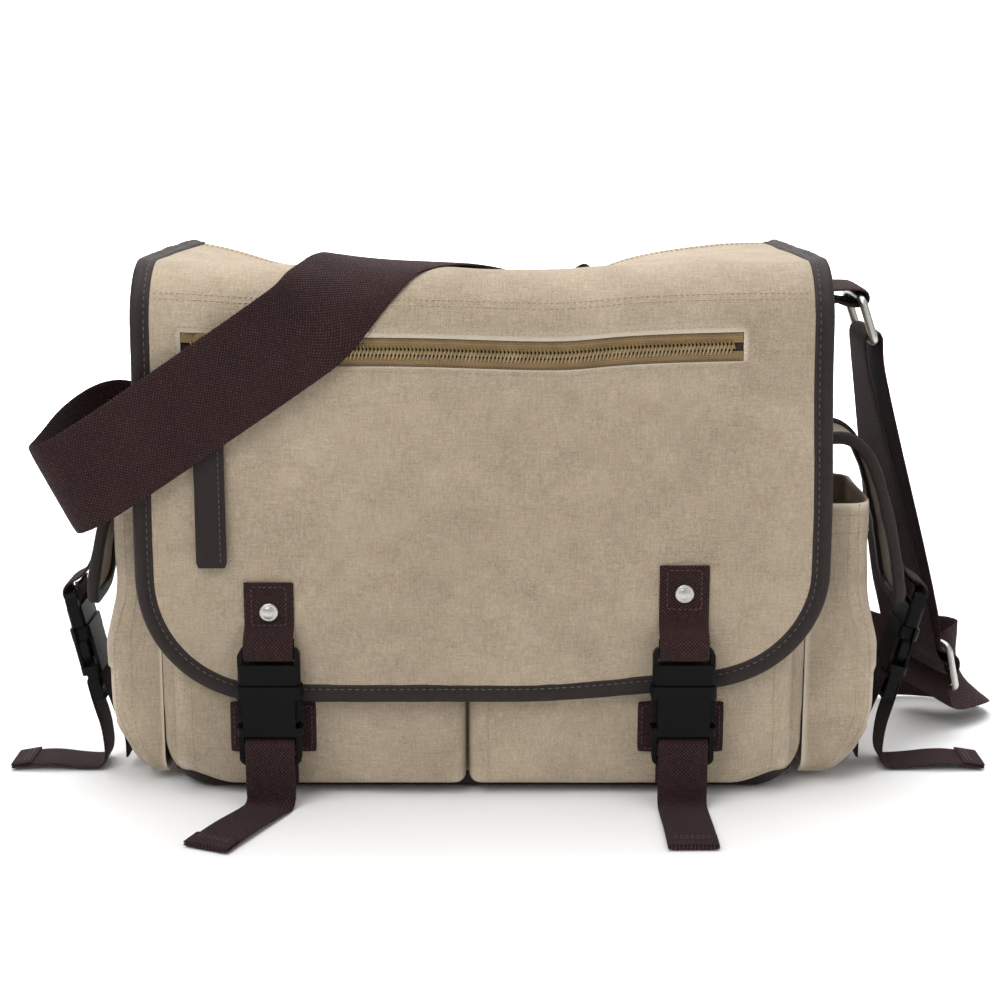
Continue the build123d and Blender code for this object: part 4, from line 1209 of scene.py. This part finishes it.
def hem_fold(name, places, wide, out, s, body, reach=13.0):
    """The tail's end, folded over and sewn across."""
    up = 1 if out[-2, 2] > 0 else -1
    part = s > s[-1] - reach
    spots = places[part] + out[part] * up * WEB_THICK * 0.93
    stations = [(p, w) for p, w in zip(spots, wide[part])]
    tube, p2, w2, o2, s2 = band(stations, WEB - 0.4, WEB_THICK, rounds=0, pitch=1.6)
    finish_piece(tube.rows(name + "_hem", WEBBING.material, shared=False), WEBBING, body=body)
    lift = 0.9 * (1 if o2[1, 2] > 0 else -1)
    runs = [run_on_band(p2, w2, o2, s2, [(3.0, -11), (3.0, 11)], lift),
        run_on_band(p2, w2, o2, s2, [(5.4, -11), (5.4, 11)], lift)]
    sew(name + "_hem_stitches", runs, WEBBING_THREAD, 2.3, 3.0, 0.3, body=body)


def patch_piece(name, centre, wide, normal, node):
    """Square of webbing sewn on a pocket behind the socket, domed, with stitches round it."""
    wide, normal = np.array(wide, float), np.array(normal, float)
    up = np.array([0, 0, 1.0])
    a = np.linspace(-1, 1, 26)
    b = np.linspace(-1, 1, 18)
    u, v = np.meshgrid(a, b)
    round_u = u * 24.5 * (1 - 0.012 * v ** 8)
    round_v = v * 15 * (1 - 0.03 * np.abs(u) ** 10)
    rise = 1.4 + 0.25 * (1 - np.maximum(np.abs(u), np.abs(v)) ** 6) + 0.15 * rumple(round_u, round_v, 8, 61)
    rise = rise - 0.9 * (np.maximum(np.abs(u), np.abs(v)) > 0.985)
    base = np.array(centre, float) + round_u[..., None] * wide + round_v[..., None] * up
    outer = base + rise[..., None] * normal
    inner = base - 0.1 * normal
    uv = np.stack([round_u, round_v], -1)
    finish_piece(Sheet(outer, inner, uv).whole(name, WEBBING.material), WEBBING, node, body="bag")
    corners = even(np.array([(-22, -12.6), (22, -12.6), (22, 12.6), (-22, 12.6), (-22, -12.6)], float), 1.5)
    line = np.array(centre) + corners[:, :1] * wide + corners[:, 1:] * up + normal * 1.65
    sew(name + "_stitches", [(line, np.tile(normal, (len(line), 1)))], WEBBING_THREAD, 2.3, 3.0, 0.32,
        body="bag")


# Sides: small flaps bound in leather, tabs, patches and tails

SIDE_LINE = {
    "left": [(190.4, 200), (196, 202.5), (204, 200), (210.5, 187), (216.5, 165), (223, 138), (229, 104)],
    "right": [(190.4, 200), (197, 204.5), (210, 204.5), (222, 194), (230, 172), (238, 140), (244, 104)],
}
SIDE_TAB = {"left": [(220.9, 158.5), (230.9, 121)], "right": [(235.4, 160.5), (245.0, 121)]}
SIDE_BAR = {"left": (242.0, 108.0), "right": (256.0, 108.0)}
SIDE_TILT = {"left": 13.0, "right": 15.0}
SIDE_Y = (-50.0, 4.0)
SIDE_MIDDLE = -23.0
SIDE_REACH = {"left": 26.0, "right": 36.0}


def build_side_flap(side, way):
    stations = np.array([[x * way, 0, z] for x, z in SIDE_LINE[side]], float)
    line = even(cut_corners(stations, 3), 2.5)
    along = unit(np.gradient(line, axis=0))
    normal = unit(np.cross([0, 1.0, 0], along) * -1)
    if np.mean(normal[:, 0] * way) < 0:
        normal = -normal
    s = lengths(line)
    total = s[-1]
    half = (SIDE_Y[1] - SIDE_Y[0]) / 2
    middle = (SIDE_Y[1] + SIDE_Y[0]) / 2
    round_ = 16.0
    up = np.clip(total - s, 0, round_)
    wide = half - round_ + np.sqrt(np.maximum(round_ ** 2 - (round_ - up) ** 2, 0.0))
    cols = np.linspace(-1, 1, 26)
    y = middle + wide[:, None] * cols[None, :]
    crown = 0.5 * (1 - cols[None, :] ** 2) * np.sin(np.pi * np.clip(s / total, 0, 1))[:, None]
    crown = crown + 0.35 * rumple(y, s[:, None], 14, 71) * ease(8, 30, s)[:, None]
    at = line[:, None] + normal[:, None] * (crown - 0.4)[..., None]
    at[..., 1] = y
    outer = at + normal[:, None] * 1.1
    inner = at - normal[:, None] * 1.1
    uv = np.stack(np.broadcast_arrays(y, s[:, None]), -1)
    body = f"side_flap_{side}"
    finish_piece(Sheet(outer, inner, uv).whole(f"side_flap_{side}_cloth", CANVAS.material), CANVAS,
        f"side_flap_{side}", body=body)
    edge = np.concatenate([at[:, 0], at[-1, 1:-1], at[::-1, -1]])
    normals = np.concatenate([normal, np.tile(normal[-1], (24, 1)), normal[::-1]])
    edge, normals = even(edge, 2.2, normals)
    edge, normals = cut_corners(edge, 1), cut_corners(normals, 1)
    section = BINDING * [0.8, 0.92]
    centre = np.array([line[:, 0].mean(), middle, line[:, 2].mean()])
    rings, out, up_, run = bound_edge(edge, normals, section, 73 + way)
    if np.mean(np.einsum("ij,ij->i", rings[:, 0] - edge, edge - centre)) < 0:
        rings, out, up_, run = bound_edge(edge, -normals, section * [1, -1], 73 + way)
        up_ = -up_
    rings = rings - up_[:, None] * 0.3
    tube = Tube(rings, run, np.zeros(len(section)))
    finish_piece(tube.rows(f"side_flap_{side}_leather", LEATHER.material, shared=False), LEATHER,
        f"side_flap_{side}_binding", body=body)
    sew(f"side_flap_{side}_stitches", [(edge - out * 5.0 + up_ * 2.5, up_)], LEATHER_THREAD, 2.4, 3.4, 0.28,
        body=body)


def build_side_webbing():
    for side, way in (("left", -1), ("right", 1)):
        build_side_flap(side, way)
        bar = (-SIDE_BAR[side][0], SIDE_BAR[side][1])
        tilt = SIDE_TILT[side]
        face = -BODY_HALF - SIDE_REACH[side]

        def turned(line):
            return [((-a * way, SIDE_MIDDLE, z), (0, 1, 0)) for a, z in line]

        start = [(-x, z) for x, z in SIDE_TAB[side]]
        tube, places, wide, out, s = band(turned(start + tilted(BAR_LOOP, tilt, bar)), WEB, WEB_THICK,
            pitch=1.6)
        plug_blend = (f"side_flap_{side}", f"side_{side}_plug", (way * 230, 0, 124), (way * 234, 0, 114))
        finish_piece(tube.rows(f"side_tab_{side}_web", WEBBING.material, shared=False), WEBBING,
            f"side_tab_{side}", blend=plug_blend)
        (x0, z0), (x1, z1) = SIDE_TAB[side]
        lean = math.atan2(x1 - x0, z0 - z1)
        normal = np.array([way * math.cos(lean), 0, math.sin(lean)])
        centre = np.array([way * (x0 + x1) / 2, SIDE_MIDDLE, (z0 + z1) / 2]) + normal * 0.7
        rivet_head(f"side_rivet_{side}_head", centre, normal, f"side_flap_{side}")
        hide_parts(f"side_rivet_{side}")
        sign = 1 if out[3, 0] * way > 0 else -1
        runs = [run_on_band(places, wide, out, s, box_run(2.5, 30, 9.6), 0.9 * sign)]
        sew(f"side_tab_{side}_stitches", runs, WEBBING_THREAD, 2.3, 3.0, 0.3, blend=plug_blend)

        patch_piece(f"side_patch_{side}", (-(face - 0.2) * way, SIDE_MIDDLE, 42), (0, 1, 0), (way, 0, 0),
            "side_patches")
        through = tilted(LADDER_PASS, tilt, bar)
        foot = through[-1][0]
        end = {"left": -283.0, "right": -300.0}[side]
        line = [(face - 1.2, 8), (face - 1.2, 20), (face - 3.9, 27)] + through
        line += [(foot + 5, 24), (foot + 6, 1.4), (foot - 8, 1.2), ((foot + end) / 2 - 6, 4.5),
            (end + 0.5, 1.1)]
        tube, places, wide, out, s = band(turned(line), WEB, WEB_THICK, pitch=1.6)
        finish_piece(tube.rows(f"side_tail_{side}", WEBBING.material, shared=False), WEBBING,
            f"side_strap_{side}", body="bag")
        hem_fold(f"side_tail_{side}", places, wide, out, s, "bag")


# Shoulder strap

STRAP = 55.0
STRAP_THICK = 2.1
RING_Y = 15.0
LEFT_BAR = (-199.0, 226.0)
RIGHT_TOP = (219.5, 279.5)
LEFT_TOP = (-194.9, 252.0)
RIGHT_BAR = (228.0, 254.5)
ADJUSTER = np.array([281.0, 60.0, 44.0])


def sag_strap(points):
    moved = points.copy()
    on = ease(262, 304, points[:, 2]) * ease(-93, -70, points[:, 1])
    moved[:, 2] -= (sag(points[:, 0], points[:, 1], points[:, 2]) + 0.8 * ease(300, 306, points[:, 2])) * on
    return moved


def strap_path():
    level = (0, 1, 0)
    x, z = LEFT_BAR
    fold = [(5, -16), (5, -3), (5, 5), (-5, 5), (-5, -3), (-6, -9)]
    path = [((x + out, RING_Y, z + up), level) for out, up in fold]
    path += [
        ((-213, 7, 211), (0, 0.95, -0.3)), ((-225, -14, 209), (0.05, 0.8, -0.6)),
            ((-235, -42, 197), (0.2, 0.45, -0.87)),
        ((-238, -66, 184), (0.4, 0.1, -0.9)), ((-240, -85, 180.5), (0.45, 0, -0.89)),
            ((-231, -94.8, 184), (0.5, 0, -0.86)),
        ((-212, -94.8, 194), (0.56, 0, -0.83)), ((-103, -94.5, 268), (0.56, 0, -0.83)),
            ((-91, -91.5, 277.5), (0.57, -0.06, -0.82)),
        ((-84, -86.5, 287), (0.61, -0.17, -0.77)), ((-75, -77, 298), (0.7, -0.33, -0.6)),
            ((-66, -64, 306), (0.79, -0.47, -0.33)),
        ((-58, -50, 308), (0.84, -0.53, -0.1)), ((-36, -25, 307.8), (0.85, -0.52, 0)),
            ((22, 46, 307.8), (0.85, -0.52, 0)),
        ((38, 78, 308), (0.87, -0.35, 0.33)), ((48, 80, 282), (0.87, 0, 0.5)), ((92, 79, 205), (0.8, 0, 0.6)),
        ((152, 84, 122), (0.8, 0, 0.6)), ((210, 92, 58), (0.6, 0, 0.8)), ((248, 102, 30), (0.2, 0.1, 0.97)),
        ((286, 112, 27), (0, 0, 1)), ((310, 106, 27), (-0.08, 0.3, 0.95)),
            ((311, 86, 25), (-0.25, 0.6, 0.75)),
        ((302, 73, 20), (-0.4, 0.82, 0.4))]
    bar = np.array([RIGHT_BAR[0], RING_Y, RIGHT_BAR[1]])
    along, across, inward = adjuster_axes(bar)

    def on_adjuster(points):
        return [(tuple(ADJUSTER + along * t + inward * n), tuple(across)) for t, n in points]

    path += on_adjuster([(-30, 4.0), (-20, 4.4), (-13, 4.4), (-5, -7.6), (5, -7.6), (13, 4.4), (20, 4.4),
        (34, 1)])
    x, z = RIGHT_BAR
    turn = [(6.5, -18), (5, -4), (5, 5), (-5, 5), (-5, -4), (-2.5, -18)]
    path += [((x + out, RING_Y, z + up), level) for out, up in turn]
    path += on_adjuster([(60, 9.5), (34, 8.6), (20, 8.4), (12, 8.2), (5.5, 4.6), (-4.5, 4.4), (-4.5, -4.2),
        (1.5, -4.2)])
    return path


def adjuster_axes(bar):
    along = unit(bar - ADJUSTER)
    inward = unit(np.cross(along, [-0.45, 0.88, 0.1]))
    return along, np.cross(inward, along), inward


def build_strap():
    path = strap_path()
    tube, places, wide, out, s = band(path, STRAP, STRAP_THICK, rounds=3, pitch=3.0, shape=sag_strap)
    last = len(places) - 1

    def row(place):
        return int(np.argmin(np.linalg.norm(places - np.array(place, float), axis=1)))

    inner, turn, run = row((-228, -24, 205)), row((-240, -89, 181)), row((-150, -95, 236))
    top = row((-36, -25, 304))
    floor_ = row((286, 112, 27))
    wrap = last - int(26 / 3.0)
    parts = (
        ("ring_end", 0, inner, ("ring_left", "bag", (-206, 0, 0), (-221, 0, 0))),
        ("inner_run", inner, turn, ("bag", "flap_top", (0, -42, 0), (0, -84, 0))),
        ("u_turn", turn, run, ("flap_top", "flap_front", (-225, 0, 0), (-194, 0, 0))),
        ("front_run", run, top, FOLD_BLEND),
        ("back_run", top, floor_, HINGE_BLEND),
        ("drop", floor_, wrap, ("bag", "ring_right", (0, 0, 150), (0, 0, 236))),
        ("end_wrap", wrap, last, None),
    )
    for name, start, end, way in parts:
        obj = tube.rows(f"strap_{name}", WEBBING.material, start, end)
        finish_piece(obj, WEBBING, "shoulder_strap", body=None if way else "adjuster", blend=way)
    runs = [run_on_band(places, wide, out, s, [(2.5, -21), (2.5, 21)], lift) for lift in (1.1, -1.1)]
    sew("strap_end_stitches", runs, WEBBING_THREAD, 2.4, 3.2, 0.32, blend=parts[0][3])


def build_ring_loops():
    sewn, folded, bar = BODY_HALF + 2.7, BODY_HALF + 5.1, 4.7
    x, z = LEFT_TOP
    left = [(-sewn, 284), (-sewn, 256), (x + bar, z - bar), (x - bar, z - bar), (x - bar, z + bar),
        (-folded, 266), (-folded, 283)]
    x, z = RIGHT_TOP
    right = [(sewn, 250), (sewn, 270), (197, 283.5), (212, 285), (x + bar, z + bar)]
    right += [(x + bar, z - bar), (212, z - bar), (204, 279), (folded, 266), (folded, 251)]
    for side, line in (("left", left), ("right", right)):
        tube, places, wide, out, s = band(plane_band(line, RING_Y, along_y=True), STRAP, STRAP_THICK,
            pitch=2.0)
        finish_piece(tube.rows(f"ring_loop_{side}", WEBBING.material, shared=False), WEBBING, "ring_loops",
            body="bag")
        end = s[-1]
        way = -1 if side == "left" else 1
        sign = 1 if out[-3, 0] * way > 0 else -1
        runs = [run_on_band(places, wide, out, s,
            [(end - 3, -21), (end - 3, 21), (end - 13, 21), (end - 13, -21), (end - 3, -21), (end - 13, 21)],
                1.1 * sign)]
        sew(f"ring_loop_{side}_stitches", runs, WEBBING_THREAD, 2.4, 3.2, 0.32, body="bag")


def dress_hard_parts():
    """CAD pieces that keep their shape: rounded edges and a material of their own."""
    nodes = frame["nodes"]
    for name, obj in nodes.items():
        if obj.hide_render:
            continue
        look, width = PLASTIC, 0.5
        if name.startswith("ring_") or name == "adjuster":
            look, width = NICKEL, 0
        elif name.startswith("zip_"):
            look, width = BRASS, 0.25
        elif name == "base_board":
            look, width = BOARD, 0.6
        obj.data.materials.clear()
        obj.data.materials.append(look.material)
        weld = obj.modifiers.new("weld", "WELD")
        weld.merge_threshold = 1e-6
        if width:
            bevel = obj.modifiers.new("soft_edge", "BEVEL")
            bevel.width = width * MM
            bevel.segments = 2
            bevel.limit_method = "ANGLE"
            bevel.angle_limit = math.radians(35)
            bevel.use_clamp_overlap = True
            bevel.harden_normals = True


# Studio

LENS = 71.5
SENSOR = 36
EYE = (0.010, -1.165, 0.411)
EYE_TILT = 77.7
WORLD_LIGHT = 0.44
FLOOR_FRONT = -9.0
WALL_START = 1.6
WALL_BEND = 1.2
WALL_TOP = 5.0
FADE_TO_WHITE = (0.6, 1.5)


def build_studio():
    """Pale floor that curves up into a wall, soft lamps, and the camera."""
    verts, faces = [], []
    bends = np.linspace(0.1, math.pi / 2, 12)
    profile = [(FLOOR_FRONT, 0.0), (WALL_START, 0.0)]
    profile += [(WALL_START + WALL_BEND * math.sin(a), WALL_BEND - WALL_BEND * math.cos(a)) for a in bends]
    profile.append((WALL_START + WALL_BEND, WALL_TOP))
    for x in (-9.0, 9.0):
        verts += [(x, y, z - 0.0008) for y, z in profile]
    count = len(profile)
    faces = [[k, k + 1, k + 1 + count, k + count] for k in range(count - 1)]
    mesh = bpy.data.meshes.new("floor")
    mesh.from_pydata(verts, [], faces)
    mesh.polygons.foreach_set("use_smooth", [True] * len(faces))
    look = Look("floor", "floor")
    tone = look.noise(look.place(), 1.5, 2.0)
    look.set(Base_Color=look.mix(tone, (0.90, 0.90, 0.90, 1), (0.94, 0.94, 0.94, 1)), Roughness=0.75)
    far = look.node("VectorMath", {0: look.node("NewGeometry").outputs["Position"]},
        operation="LENGTH").outputs["Value"]
    seen = look.node("LightPath").outputs["Is Camera Ray"]
    look.set(Emission_Color=(1, 1, 1, 1),
        Emission_Strength=look.calc("MULTIPLY", look.ramp(far, *FADE_TO_WHITE), seen))
    mesh.materials.append(look.material)
    floor = bpy.data.objects.new("floor", mesh)
    bpy.context.scene.collection.objects.link(floor)

    world = bpy.data.worlds.new("studio")
    world.use_nodes = True
    world.node_tree.nodes["Background"].inputs["Color"].default_value = (1, 1, 1, 1)
    links = world.node_tree.links
    seen = world.node_tree.nodes.new("ShaderNodeLightPath").outputs["Is Camera Ray"]
    strength = world.node_tree.nodes.new("ShaderNodeMapRange")
    strength.inputs["To Min"].default_value = WORLD_LIGHT
    strength.inputs["To Max"].default_value = 1.0
    links.new(seen, strength.inputs["Value"])
    links.new(strength.outputs["Result"], world.node_tree.nodes["Background"].inputs["Strength"])
    bpy.context.scene.world = world
    for name, place, target, size, power in (
            ("key", (-0.9, -1.5, 1.8), (0, 0, 0.2), 1.4, 25),
            ("fill", (1.3, -1.3, 1.0), (0, 0, 0.2), 1.4, 5),
            ("wall", (0, 1.0, 2.2), (0, 2.8, 0.6), 2.4, 70),
            ("top", (0.1, 0.1, 1.9), (0, 0, 0.2), 1.5, 20)):
        light = bpy.data.lights.new(name, "AREA")
        light.size = size
        light.energy = power
        lamp = bpy.data.objects.new(name, light)
        lamp.location = place
        aim = np.array(target) - np.array(place)
        lamp.rotation_euler = Vector(aim).to_track_quat("-Z", "Y").to_euler()
        bpy.context.scene.collection.objects.link(lamp)

    camera = bpy.data.cameras.new("camera")
    camera.lens = LENS
    camera.sensor_width = SENSOR
    eye = bpy.data.objects.new("camera", camera)
    eye.location = EYE
    eye.rotation_euler = (math.radians(EYE_TILT), 0, 0)
    bpy.context.scene.collection.objects.link(eye)
    bpy.context.scene.camera = eye
    bpy.context.scene.view_settings.view_transform = "Standard"


build_body()
build_rim()
build_front_pockets()
build_side_pockets()
build_flap()
build_flap_binding()
build_flap_stitching()
build_flap_seam()
build_zip()
build_front_webbing()
build_side_webbing()
build_ring_loops()
build_strap()
dress_hard_parts()
build_studio()
